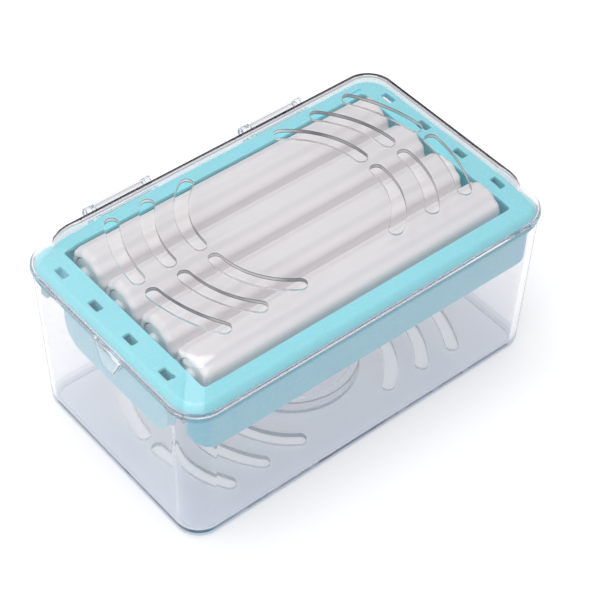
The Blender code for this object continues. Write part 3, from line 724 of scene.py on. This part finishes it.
def on_foot(middle, normal):
    """Whether a face belongs to the foot rim or to the rounded edge above it."""
    reach_x, reach_y = SLOT_FIELD_SHARES
    return (middle.z < FOOT_HEIGHT + BASE_ROUND and (abs(normal.z) < STEEP or middle.z < FOOT_HEIGHT / 2)
            and (abs(middle.x) > reach_x * RIM_LENGTH / 2 or abs(middle.y) > reach_y * RIM_DEPTH / 2))


def on_collar_rim(middle, normal):
    return (middle.z > FLOOR_TOP + COLLAR_HEIGHT - SOFT_EDGE and abs(normal.z) < STEEP
            and math.hypot(middle.x, middle.y) < COLLAR_RADIUS + OVERRUN)


def on_floor_slot(middle, normal):
    """Whether a face belongs to the wall of one of the floor's slots."""
    reach_x, reach_y = SLOT_FIELD_SHARES
    return (middle.z < FLOOR_TOP and abs(normal.z) < HALF_STEEP
            and abs(middle.x) < reach_x * RIM_LENGTH / 2 and abs(middle.y) < reach_y * RIM_DEPTH / 2)


def on_lip(middle, normal):
    """Whether a face belongs to the thicker lip of the box's rim."""
    return middle.z > SEAM_HEIGHT - LIP_HEIGHT - LIP_WIDTH + WALL and abs(middle.y) < RIM_DEPTH / 2


def make_body(look, floor_plastic, painted_highlight_foot_plastic, lip_plastic, collar_rim_painted_shade, slot_wall_painted_shade):
    body = piece_of("box_clear", loft("box_clear", body_rings()))
    combine(body, collar_mesh(), "UNION")
    ear = plate("ear", ear_outline(), EAR_THICK, PLATE_EDGE)
    ears = [(ear, along_x(place + side * EAR_SPACING / 2)) for place in hinge_places() for side in (-1, 1)]
    combine(body, joined("ears", ears), "UNION")
    pin = rod("hinge_pin", HINGE_PIN_RADIUS, EAR_SPACING)
    pins = [(pin, Matrix.Translation((place, HINGE_Y, HINGE_Z))) for place in hinge_places()]
    combine(body, joined("hinge_pins", pins), "UNION")
    combine(body, slot_cutter("floor_slots", FOOT_HEIGHT, FLOOR_TOP), "DIFFERENCE")
    finish(body, look, "box", "box_body")
    face_look(body, floor_plastic, on_floor)
    face_look(body, painted_highlight_foot_plastic, on_foot)
    face_look(body, lip_plastic, on_lip)
    face_look(body, collar_rim_painted_shade, on_collar_rim)
    face_look(body, slot_wall_painted_shade, on_floor_slot)


def lid_rings():
    """The lid from the middle of its top, down outside to its lower edge and up again inside."""
    outer = lid_outer_profile()
    inner = offset_profile(outer, LID_WALL)

    def station(inset, rise, radius):
        return RIM_LENGTH / 2 - inset, RIM_DEPTH / 2 - inset, radius, LID_FLOOR + rise

    cuts = [EDGE, SOFT_EDGE] + [0.0] * (len(outer) - 2)
    corners = [(station(inset, rise, lid_radius(inset)), cut)
               for (inset, rise), cut in zip(reversed(outer), reversed(cuts))]
    for (inset, rise), (outer_inset, _), cut in zip(inner, outer, cuts):
        corners.append((station(inset, rise, lid_radius(outer_inset) - (inset - outer_inset)), cut))
    return [ring(sizes) for sizes in soften(corners)]


def on_lower_rim(middle, normal):
    """Whether a face of the lid belongs to the rounded outer edge of its lower rim."""
    return (middle.z < LID_FLOOR + EDGE and -STEEP < normal.z < -SHALLOW
            and normal.x * middle.x + normal.y * middle.y > 0)


def on_slot_wall(middle, normal):
    return middle.z > LID_TOP - LID_WALL and abs(normal.z) < HALF_STEEP


def on_top_edge(middle, normal):
    """Whether a face lies on the middle of the rounded edge between the lid's slopes and its flat top,
    where the dark line is painted as shade.
    """
    return middle.y < RIM_DEPTH / 2 and PAINTED_DARK_LINE_TILT[0] < normal.z < PAINTED_DARK_LINE_TILT[1]


def on_band(middle, normal):
    """Whether a face belongs to the upright band below the lid's slopes."""
    return (middle.y < RIM_DEPTH / 2 and LID_FLOOR < middle.z < LID_FLOOR + LID_BAND
            and abs(normal.z) < SHALLOW)


def make_lid(look, painted_shade_top_edge, band, painted_highlight_rim, slot_wall_painted_shade):
    lid = piece_of("lid_clear", loft("lid_clear", lid_rings()))
    hook_length = HINGE_LENGTH - 2 * EAR_THICK - 2 * GAP
    hook = plate("hook", hook_outline(), hook_length, EDGE / 2)
    bore = HINGE_PIN_RADIUS + HINGE_PLAY
    arm = block("arm", (-hook_length / 2, RIM_DEPTH / 2 - LID_WALL / 2, HINGE_Z + HINGE_RADIUS - ARM_THICK),
                (hook_length / 2, HINGE_Y, HINGE_Z + HINGE_RADIUS), EDGE / 2)
    socket = rod("socket", bore, hook_length + 2 * OVERRUN)
    arms, sockets, hooks = [], [], []
    for place in hinge_places():
        arms.append((arm, Matrix.Translation((place, 0.0, 0.0))))
        sockets.append((socket, Matrix.Translation((place, HINGE_Y, HINGE_Z))))
        hooks.append((hook, along_x(place)))
    combine(lid, joined("arms", arms), "UNION")
    combine(lid, joined("sockets", sockets), "DIFFERENCE")
    combine(lid, joined("hooks", hooks), "UNION")
    tab = plate("tab", tab_outline(), TAB_THICK, PLATE_EDGE)
    tab_x = box_half(SEAM_HEIGHT)[0] + GAP + TAB_THICK / 2
    combine(lid, joined("tabs", [(tab, along_x(side * tab_x)) for side in (-1, 1)]), "UNION")
    combine(lid, slot_cutter("lid_slots", LID_TOP - LID_WALL, LID_TOP), "DIFFERENCE")
    finish(lid, look, "lid", "lid")
    face_look(lid, painted_shade_top_edge, on_top_edge)
    face_look(lid, band, on_band)
    face_look(lid, painted_highlight_rim, on_lower_rim)
    face_look(lid, slot_wall_painted_shade, on_slot_wall)


def frame_rings():
    """The frame from under the window's edge, over the flange, down the skirt outside and up inside."""
    def flange(height):
        inset = under_lid(height)
        return RIM_LENGTH / 2 - inset, RIM_DEPTH / 2 - inset, RIM_RADIUS - inset, height

    inner = (SKIRT_X - SKIRT_WALL, SKIRT_Y - SKIRT_WALL, SKIRT_RADIUS - SKIRT_WALL)
    corners = [((WINDOW_X, WINDOW_Y, WINDOW_RADIUS, FLANGE_UNDER), EDGE),
               ((WINDOW_X, WINDOW_Y, WINDOW_RADIUS, FLANGE_TOP), SOFT_EDGE),
               (flange(FLANGE_TOP), FLANGE_ROUND),
               (flange(LID_FLOOR + LID_BAND), EDGE),
               (flange(LID_FLOOR), EDGE),
               ((SKIRT_X, SKIRT_Y, SKIRT_RADIUS, LID_FLOOR), EDGE),
               ((SKIRT_X, SKIRT_Y, SKIRT_RADIUS, SKIRT_BOTTOM), EDGE),
               ((*inner, SKIRT_BOTTOM), EDGE),
               ((*inner, FLANGE_UNDER), SOFT_EDGE)]
    return [ring(sizes) for sizes in soften(corners, looped=True)]


def side_gap_outline(side):
    """The gap between a side panel's rounded end and the long panel that turns the corner, in YZ."""
    end = side * SIDE_PANEL_PLACE + SIDE_PANEL_LENGTH / 2
    low = SKIRT_BOTTOM - OVERRUN
    turn = arc((end - PANEL_ROUND, SKIRT_BOTTOM + PANEL_ROUND), PANEL_ROUND, -math.pi / 2, 0.0, PANEL_STEPS)
    points = [(LONG_PANEL_EDGE, LID_FLOOR), (LONG_PANEL_EDGE, low), (end - PANEL_ROUND, low)] + turn
    return [(side * y, z) for y, z in points + [(end, LID_FLOOR)]]


def long_trim_outline():
    """What is cut away under and beside a long panel with its rounded lower corners, in XZ."""
    depth = SKIRT_RADIUS - LONG_PANEL_REACH
    end = SKIRT_X - SKIRT_RADIUS + math.sqrt(SKIRT_RADIUS ** 2 - depth ** 2)
    edge = SKIRT_X + OVERRUN
    low = SKIRT_BOTTOM - OVERRUN
    high = LONG_PANEL_BOTTOM + PANEL_ROUND
    turn = arc((end - PANEL_ROUND, high), PANEL_ROUND, -math.pi / 2, 0.0, PANEL_STEPS)
    half = [(0.0, LONG_PANEL_BOTTOM)] + turn + [(edge, high), (edge, low)]
    return half + [(-x, z) for x, z in reversed(half[1:])]


def open_corners(piece):
    """Opens the skirt's corners beside the side panels and trims the long panels."""
    low_x = BEARING_OUT + GAP
    high_x = SKIRT_X + OVERRUN
    gaps = []
    for side_y in (-1, 1):
        gap = plate("side_gap", side_gap_outline(side_y), high_x - low_x, 0.0)
        gaps += [(gap, along_x(side_x * (low_x + high_x) / 2)) for side_x in (-1, 1)]
    combine(piece, joined("side_gaps", gaps), "DIFFERENCE")
    low_y = LONG_PANEL_EDGE - OVERRUN
    high_y = SKIRT_Y + OVERRUN
    trim = plate("long_trim", long_trim_outline(), high_y - low_y, 0.0)
    trims = [(trim, along_y(side_y * (low_y + high_y) / 2)) for side_y in (-1, 1)]
    combine(piece, joined("long_trims", trims), "DIFFERENCE")


def notch_cutter():
    """One small window of the flange, over a bearing."""
    def outline(grow):
        half_x = NOTCH_LENGTH / 2 - NOTCH_ROUND
        half_y = NOTCH_WIDTH / 2 - NOTCH_ROUND
        points = []
        for quarter, (side_x, side_y) in enumerate(((1, 1), (-1, 1), (-1, -1), (1, -1))):
            start = math.pi / 2 * quarter
            points += arc((side_x * half_x, side_y * half_y), NOTCH_ROUND + grow, start,
                          start + math.pi / 2, EDGE_STEPS)
        return points

    return flared_cutter("notch", outline, FLANGE_UNDER, FLANGE_TOP, EDGE)


def make_frame(look):
    piece = piece_of("frame_cyan", loft("frame_cyan", frame_rings(), looped=True))
    open_corners(piece)
    across = SKIRT_Y - SKIRT_WALL / 2
    bearing_wall = block("bearing_wall", (BEARING_IN, -across, ROLLER_Z - BEARING_DROP),
                         (BEARING_OUT, across, FLANGE_TOP - FLANGE_THICK / 2))
    both = [Matrix.Diagonal((side, 1.0, 1.0, 1.0)) for side in (1, -1)]
    combine(piece, joined("bearing_walls", [(bearing_wall, m) for m in both]), "UNION")
    bore = rod("bore", PIN_RADIUS + BEARING_PLAY, BEARING_WALL + 2 * OVERRUN)
    snap = PIN_RADIUS - SNAP_PINCH / 2
    depth = BEARING_WALL / 2 + OVERRUN
    mouth = block("mouth", (-depth, -snap, -BEARING_DROP - OVERRUN), (depth, snap, 0.0), 0.0)
    notch_x = BEARING_OUT + BEARING_POCKET / 2
    notch = notch_cutter()
    bores, mouths, notches = [], [], []
    for side in (1, -1):
        for place in roller_places():
            seat = Matrix.Translation((side * (BEARING_IN + BEARING_OUT) / 2, place, ROLLER_Z))
            bores.append((bore, seat))
            mouths.append((mouth, seat))
            notches.append((notch, Matrix.Translation((side * notch_x, place + NOTCH_SHIFT, 0.0))))
    combine(piece, joined("bearing_bores", bores), "DIFFERENCE")
    combine(piece, joined("bearing_mouths", mouths), "DIFFERENCE")
    combine(piece, joined("notches", notches), "DIFFERENCE")
    gate_x = WINDOW_X * GATE_SHARE
    gate_y = WINDOW_Y + FLANGE_EDGE + GATE_WIDTH
    gate = block("gate", (gate_x - GATE_LENGTH / 2, gate_y - GATE_WIDTH / 2, FLANGE_TOP - GATE_DEPTH),
                 (gate_x + GATE_LENGTH / 2, gate_y + GATE_WIDTH / 2, FLANGE_TOP + OVERRUN))
    combine(piece, gate, "DIFFERENCE")
    finish(piece, look, "box", "roller_frame")


def rib_radius(angle):
    """The sleeve's outer radius: round-topped ribs with shallow valleys between them."""
    return ROLLER_RADIUS - RIB_DEPTH * (1 - math.cos(RIB_COUNT * angle)) / 2


def sleeve_mesh():
    """A ribbed tube along X with rounded ends."""
    count = RIB_COUNT * RIB_STEPS
    angles = [2 * math.pi * step / count for step in range(count)]

    def outer(x, shrink):
        return [Vector((x, (rib_radius(a) - shrink) * math.cos(a), (rib_radius(a) - shrink) * math.sin(a)))
                for a in angles]

    def bore(x, grow):
        return [Vector((x, (BORE_RADIUS + grow) * math.cos(a), (BORE_RADIUS + grow) * math.sin(a)))
                for a in angles]

    quarter = [math.pi / 2 * step / ROUND_STEPS for step in range(ROUND_STEPS + 1)]
    rings = [bore(EDGE - ROLLER_HALF, 0.0), bore(-ROLLER_HALF, EDGE)]
    for side, angles_in_turn in ((-1, quarter), (1, quarter[::-1])):
        for angle in angles_in_turn:
            x = side * (ROLLER_HALF - ROLLER_ROUND * (1 - math.cos(angle)))
            rings.append(outer(x, ROLLER_ROUND * (1 - math.sin(angle))))
    rings += [bore(ROLLER_HALF, EDGE), bore(ROLLER_HALF - EDGE, 0.0)]
    return loft("sleeve", rings, looped=True)


def plug_profile():
    """The right end plug as (radius, distance along X from the roller's middle), from the tip inwards."""
    tip = SKIRT_X - SKIRT_WALL - PIN_END_GAP
    hub = BEARING_IN - GAP
    face = ROLLER_HALF - PLUG_SINK
    spigot = BORE_RADIUS - GAP
    corners = [((0.0, tip), 0.0), ((PIN_RADIUS, tip), PIN_CHAMFER), ((PIN_RADIUS, hub), EDGE),
               ((HUB_RADIUS, hub), EDGE), ((HUB_RADIUS, face), EDGE), ((spigot, face), EDGE),
               ((spigot, face - PLUG_DEPTH), EDGE), ((0.0, face - PLUG_DEPTH), 0.0)]
    return [tuple(sizes) for sizes in soften(corners)]


def make_rollers(white, milky):
    sleeve = sleeve_mesh()
    plug = lathe("plug", plug_profile())
    other = plug.copy()
    other.transform(Matrix.Rotation(math.pi, 4, "Z"))
    for number, place in enumerate(roller_places(), start=1):
        middle = (0.0, place + CENTRE_SHIFT, ROLLER_Z)
        body = f"roller_{number}"
        finish(piece_of(f"{body}_sleeve_white", sleeve.copy(), middle), white, body,
               f"{body}_sleeve", ROLLER_CREASE)
        for side, mesh in (("right", plug), ("left", other)):
            finish(piece_of(f"{body}_{side}_plug_milky", mesh.copy(), middle), milky, body,
                   f"{body}_{side}_plug")


def blank_material(name, colour, roughness):
    made = bpy.data.materials.new(name)
    made.use_nodes = True
    shader = made.node_tree.nodes["Principled BSDF"]
    shader.inputs["Base Color"].default_value = (*colour, 1.0)
    shader.inputs["Roughness"].default_value = roughness
    return made, made.node_tree, shader


def noise(tree, scale, detail, stretch=(1.0, 1.0, 1.0)):
    """A noise pattern on the object's own coordinates; scale is in features per metre."""
    where = tree.nodes.new("ShaderNodeTexCoord")
    fit = tree.nodes.new("ShaderNodeMapping")
    fit.inputs["Scale"].default_value = stretch
    pattern = tree.nodes.new("ShaderNodeTexNoise")
    pattern.inputs["Scale"].default_value = scale
    pattern.inputs["Detail"].default_value = detail
    tree.links.new(where.outputs["Object"], fit.inputs["Vector"])
    tree.links.new(fit.outputs["Vector"], pattern.inputs["Vector"])
    return pattern.outputs["Fac"]


def spread(tree, source, low, high, start=MIDDLE_RANGE[0], end=MIDDLE_RANGE[1]):
    """Maps a pattern's middle range onto values from low to high."""
    change = tree.nodes.new("ShaderNodeMapRange")
    change.inputs["From Min"].default_value = start
    change.inputs["From Max"].default_value = end
    change.inputs["To Min"].default_value = low
    change.inputs["To Max"].default_value = high
    tree.links.new(source, change.inputs["Value"])
    return change.outputs["Result"]


def skin(tree, shader, pattern, strength, depth):
    """Makes the surface a little uneven."""
    made = tree.nodes.new("ShaderNodeBump")
    made.inputs["Strength"].default_value = strength
    made.inputs["Distance"].default_value = depth
    tree.links.new(noise(tree, *pattern), made.inputs["Height"])
    tree.links.new(made.outputs["Normal"], shader.inputs["Normal"])


def patches(tree, shader, pattern, low, high):
    """Makes the shader rougher and smoother by a pattern."""
    tree.links.new(spread(tree, noise(tree, *pattern), low, high), shader.inputs["Roughness"])


def partly_clear(shader, share):
    shader.inputs["IOR"].default_value = CLEAR_IOR
    shader.inputs["Transmission Weight"].default_value = share


def deep(shader, weight, reach):
    """Lets light spread inside the plastic."""
    shader.inputs["Subsurface Weight"].default_value = weight
    shader.inputs["Subsurface Scale"].default_value = reach


def mixed(tree, source, dark, light):
    """A node that mixes two colours by a pattern."""
    mix = tree.nodes.new("ShaderNodeMix")
    mix.data_type = "RGBA"
    mix.inputs["A"].default_value = (*dark, 1.0)
    mix.inputs["B"].default_value = (*light, 1.0)
    tree.links.new(source, mix.inputs["Factor"])
    return mix


def tinted(tree, shader, source, dark, light, socket="Base Color"):
    """Mixes two colours by a pattern into one of the shader's colours."""
    tree.links.new(mixed(tree, source, dark, light).outputs["Result"], shader.inputs[socket])


def mottled(tree, shader, colour, pattern, darkest):
    """Darkens the colour in patches."""
    tinted(tree, shader, noise(tree, *pattern), tuple(part * darkest for part in colour), colour)


def worked_out(tree, operation, source, other, clamped=False):
    """A Math node of a socket and either another socket or a plain number."""
    made = tree.nodes.new("ShaderNodeMath")
    made.operation = operation
    made.use_clamp = clamped
    tree.links.new(source, made.inputs[0])
    if isinstance(other, float):
        made.inputs[1].default_value = other
    else:
        tree.links.new(other, made.inputs[1])
    return made.outputs["Value"]


def larger(tree, source, other):
    return worked_out(tree, "MAXIMUM", source, other)


def lamp_or_bounce(tree):
    """1 for rays that only carry light: those to a lamp and those of a diffuse bounce."""
    path = tree.nodes.new("ShaderNodeLightPath")
    return larger(tree, path.outputs["Is Shadow Ray"], path.outputs["Is Diffuse Ray"])


def backfacing(tree):
    return tree.nodes.new("ShaderNodeNewGeometry").outputs["Backfacing"]


def let_through(tree, shader, share, passing):
    """Mixes the shader with plain see-through by a share, as the material's surface."""
    mix = tree.nodes.new("ShaderNodeMixShader")
    tree.links.new(share, mix.inputs["Fac"])
    tree.links.new(shader.outputs["BSDF"], mix.inputs[1])
    tree.links.new(passing.outputs["BSDF"], mix.inputs[2])
    tree.links.new(mix.outputs["Shader"], tree.nodes["Material Output"].inputs["Surface"])


def see_through(tree, colour):
    made = tree.nodes.new("ShaderNodeBsdfTransparent")
    made.inputs["Color"].default_value = (*colour, 1.0)
    return made


def clear_plastic(name, tint, passing_light, painted_edge_shade=None, edge_on=None, straight=0.0):
    """Clear moulded plastic: faint waves, light scuffs, lamp light passing, and, if asked, a painted dark
    shade where a face stands edge-on.
    """
    made, tree, shader = blank_material(name, tint, CLEAR_ROUGH)
    partly_clear(shader, 1.0)
    patches(tree, shader, CLEAR_SCUFFS, *CLEAR_SCUFF_ROUGH)
    skin(tree, shader, *CLEAR_SKIN)
    passing = see_through(tree, passing_light)
    mirrored = tree.nodes.new("ShaderNodeLightPath").outputs["Glossy Depth"]
    caught = worked_out(tree, "GREATER_THAN", mirrored, MOST_MIRRORINGS)
    light_only = lamp_or_bounce(tree)
    through = larger(tree, light_only, caught)
    if edge_on:
        # Painted shade: seen from outside, edge-on faces turn their see-through colour toward the painted
        # edge shade, standing in for the light the glass bends away
        facing = tree.nodes.new("ShaderNodeLayerWeight").outputs["Facing"]
        plain = larger(tree, light_only, backfacing(tree))
        edge = worked_out(tree, "SUBTRACT", spread(tree, facing, 0.0, 1.0, *edge_on), plain, clamped=True)
        tinted(tree, passing, edge, passing_light, painted_edge_shade, "Color")
        through = larger(tree, through, edge)
    if straight:
        through = larger(tree, through, straight)
    let_through(tree, shader, through, passing)
    return made


def painted_highlight_rim_plastic():
    """The rough lower rim of the lid, painted pale as the seam's bright highlight line."""
    made, tree, shader = blank_material("frosted_rim_painted_highlight", FROSTED_PAINTED_HIGHLIGHT, FROSTED_ROUGH)
    mottled(tree, shader, FROSTED_PAINTED_HIGHLIGHT, *FROSTED_MOTTLE)
    return made


def painted_shade_slot_wall_plastic():
    """The rough walls of the lid's slots, painted grey as shade for the light they bend away: darkest along
    both edges, lighter in between.
    """
    made, tree, shader = blank_material("slot_wall_painted_shade", SLOT_WALL_LIGHT, SLOT_ROUGH)
    partly_clear(shader, HALF_CLEAR)
    streaks = spread(tree, noise(tree, *SLOT_PATTERN), 0.0, 1.0, *SLOT_STREAKS)
    core = mixed(tree, streaks, SLOT_WALL_PAINTED_SHADE, SLOT_WALL_LIGHT)
    apart = tree.nodes.new("ShaderNodeSeparateXYZ")
    tree.links.new(tree.nodes.new("ShaderNodeTexCoord").outputs["Object"], apart.inputs["Vector"])
    height = spread(tree, apart.outputs["Z"], 0.0, 1.0, LID_TOP - LID_WALL, LID_TOP)
    from_edge = worked_out(tree, "PINGPONG", height, HALF_WAY)
    whole = mixed(tree, spread(tree, from_edge, 0.0, 1.0, *SLOT_RIM_SHARES), SLOT_RIM_PAINTED_SHADE, SLOT_WALL_LIGHT)
    tree.links.new(core.outputs["Result"], whole.inputs["B"])
    tree.links.new(whole.outputs["Result"], shader.inputs["Base Color"])
    return made


def painted_shade_plastic(name, tint):
    """Small rounded or upright edges, given a darker colour as painted shade for the light they bend away.
    """
    made, tree, shader = blank_material(name, tint, SHADED_ROUGH)
    partly_clear(shader, HALF_CLEAR)
    mottled(tree, shader, tint, *SHADED_MOTTLE)
    return made


def painted_highlight_foot_plastic():
    """The rough foot rim, painted pale as a highlight line along the base. From inside it is as clear as
    the walls.
    """
    made, tree, shader = blank_material("foot_rim_painted_highlight", FOOT_PAINTED_HIGHLIGHT, FOOT_ROUGH)
    mottled(tree, shader, FOOT_PAINTED_HIGHLIGHT, *FOOT_MOTTLE)
    partly_clear(shader, FOOT_CLEAR)
    through = larger(tree, lamp_or_bounce(tree), backfacing(tree))
    let_through(tree, shader, larger(tree, through, FOOT_STRAIGHT), see_through(tree, BOX_PASSING))
    return made


def cyan_plastic():
    """Light cyan plastic: glossy, a little mottled, with a faint moulded skin."""
    made, tree, shader = blank_material("cyan_plastic", CYAN, CYAN_ROUGH)
    deep(shader, *CYAN_DEEP)
    mottled(tree, shader, CYAN, *CYAN_MOTTLE)
    patches(tree, shader, CYAN_PATCHES, *CYAN_PATCH_ROUGH)
    skin(tree, shader, *CYAN_SKIN)
    return made


def white_plastic():
    """Off-white satin plastic of the rollers, with fine scuffs that run round each roller."""
    made, tree, shader = blank_material("roller_white", WHITE, WHITE_ROUGH)
    mottled(tree, shader, WHITE, *WHITE_MOTTLE)
    patches(tree, shader, WHITE_PATCHES, *WHITE_PATCH_ROUGH)
    skin(tree, shader, *WHITE_SKIN)
    return made


def milky_plastic():
    """Milky plastic of the end plugs."""
    made, tree, shader = blank_material("milky_plastic", MILKY, MILKY_ROUGH)
    deep(shader, *MILKY_DEEP)
    mottled(tree, shader, MILKY, *MILKY_MOTTLE)
    return made


def floor_look():
    """A white studio table. The part that only sight rays see lifts it to white and keeps the shadow."""
    made, tree, shader = blank_material("studio_floor", FLOOR_COLOUR, FLOOR_ROUGH)
    shader.inputs["Specular IOR Level"].default_value = 0.0
    shader.inputs["Emission Color"].default_value = (1.0, 1.0, 1.0, 1.0)
    path = tree.nodes.new("ShaderNodeLightPath")
    seen = larger(tree, path.outputs["Is Camera Ray"], path.outputs["Is Glossy Ray"])
    seen = larger(tree, seen, path.outputs["Is Transmission Ray"])
    tree.links.new(worked_out(tree, "MULTIPLY", seen, FLOOR_LIFT), shader.inputs["Emission Strength"])
    return made


def make_stage():
    shape = bmesh.new()
    bmesh.ops.create_grid(shape, x_segments=1, y_segments=1, size=FLOOR_SIZE / 2)
    floor = piece_of("studio_floor", mesh_of("studio_floor", shape), (0.0, 0.0, -FLOOR_DROP))
    floor.data.materials.append(floor_look())


def make_lights():
    world = bpy.data.worlds.new("studio")
    world.use_nodes = True
    world.node_tree.nodes["Background"].inputs["Color"].default_value = (*WORLD_LIGHT, 1.0)
    bpy.context.scene.world = world
    for name, place, aim, size, power in LAMPS:
        data = bpy.data.lights.new(name, "AREA")
        data.shape = "SQUARE"
        data.size = size
        data.energy = power
        lamp = linked(name, data)
        lamp.location = place
        way = Vector(place) - Vector(aim)
        lamp.rotation_euler = way.to_track_quat("Z", "Y").to_euler()


def make_camera():
    back = Vector((math.sin(CAMERA_AZIMUTH) * math.cos(CAMERA_ELEVATION),
                   -math.cos(CAMERA_AZIMUTH) * math.cos(CAMERA_ELEVATION),
                   math.sin(CAMERA_ELEVATION)))
    right = Vector((math.cos(CAMERA_AZIMUTH), math.sin(CAMERA_AZIMUTH), 0.0))
    up = back.cross(right)
    place = Vector(CAMERA_AIM) + right * CAMERA_RIGHT + up * CAMERA_UP + back * CAMERA_DISTANCE
    place.y += CENTRE_SHIFT
    tilted_right = right * math.cos(CAMERA_ROLL) + up * math.sin(CAMERA_ROLL)
    tilted_up = up * math.cos(CAMERA_ROLL) - right * math.sin(CAMERA_ROLL)
    data = bpy.data.cameras.new("camera")
    data.sensor_width = SENSOR
    data.lens = FOCAL_PIXELS * SENSOR / FRAME_PIXELS
    data.clip_start = CAMERA_NEAR
    camera = linked("camera", data)
    turn = Matrix((tilted_right, tilted_up, back)).transposed().to_4x4()
    camera.matrix_world = Matrix.Translation(place) @ turn
    bpy.context.scene.camera = camera


# The box's walls get a painted dark shade where they stand edge-on
make_body(clear_plastic("clear_box_plastic", CLEAR_TINT, BOX_PASSING, BOX_PAINTED_EDGE_SHADE, BOX_EDGE_ON),
          clear_plastic("box_floor_plastic", FLOOR_TINT, FLOOR_PASSING), painted_highlight_foot_plastic(),
          clear_plastic("box_lip_plastic", CLEAR_TINT, BOX_PASSING, straight=BAND_STRAIGHT),
          painted_shade_plastic("collar_rim_painted_shade", COLLAR_RIM_PAINTED_SHADE), painted_shade_plastic("floor_slot_wall_painted_shade", FLOOR_SLOT_WALL_PAINTED_SHADE))
# The lid's rounded top edge gets a painted dark line as shade
make_lid(clear_plastic("clear_lid_plastic", LID_TINT, LID_PASSING),
         clear_plastic("lid_edge_painted_shade_plastic", LID_TINT, LID_PASSING, LID_PAINTED_EDGE_SHADE, LID_EDGE_ON),
         clear_plastic("lid_band_plastic", LID_TINT, LID_PASSING, straight=BAND_STRAIGHT),
         painted_highlight_rim_plastic(), painted_shade_slot_wall_plastic())
make_frame(cyan_plastic())
make_rollers(white_plastic(), milky_plastic())
make_stage()
make_lights()
make_camera()
bpy.context.scene.view_settings.view_transform = "Standard"

bpy.context.view_layer.update()
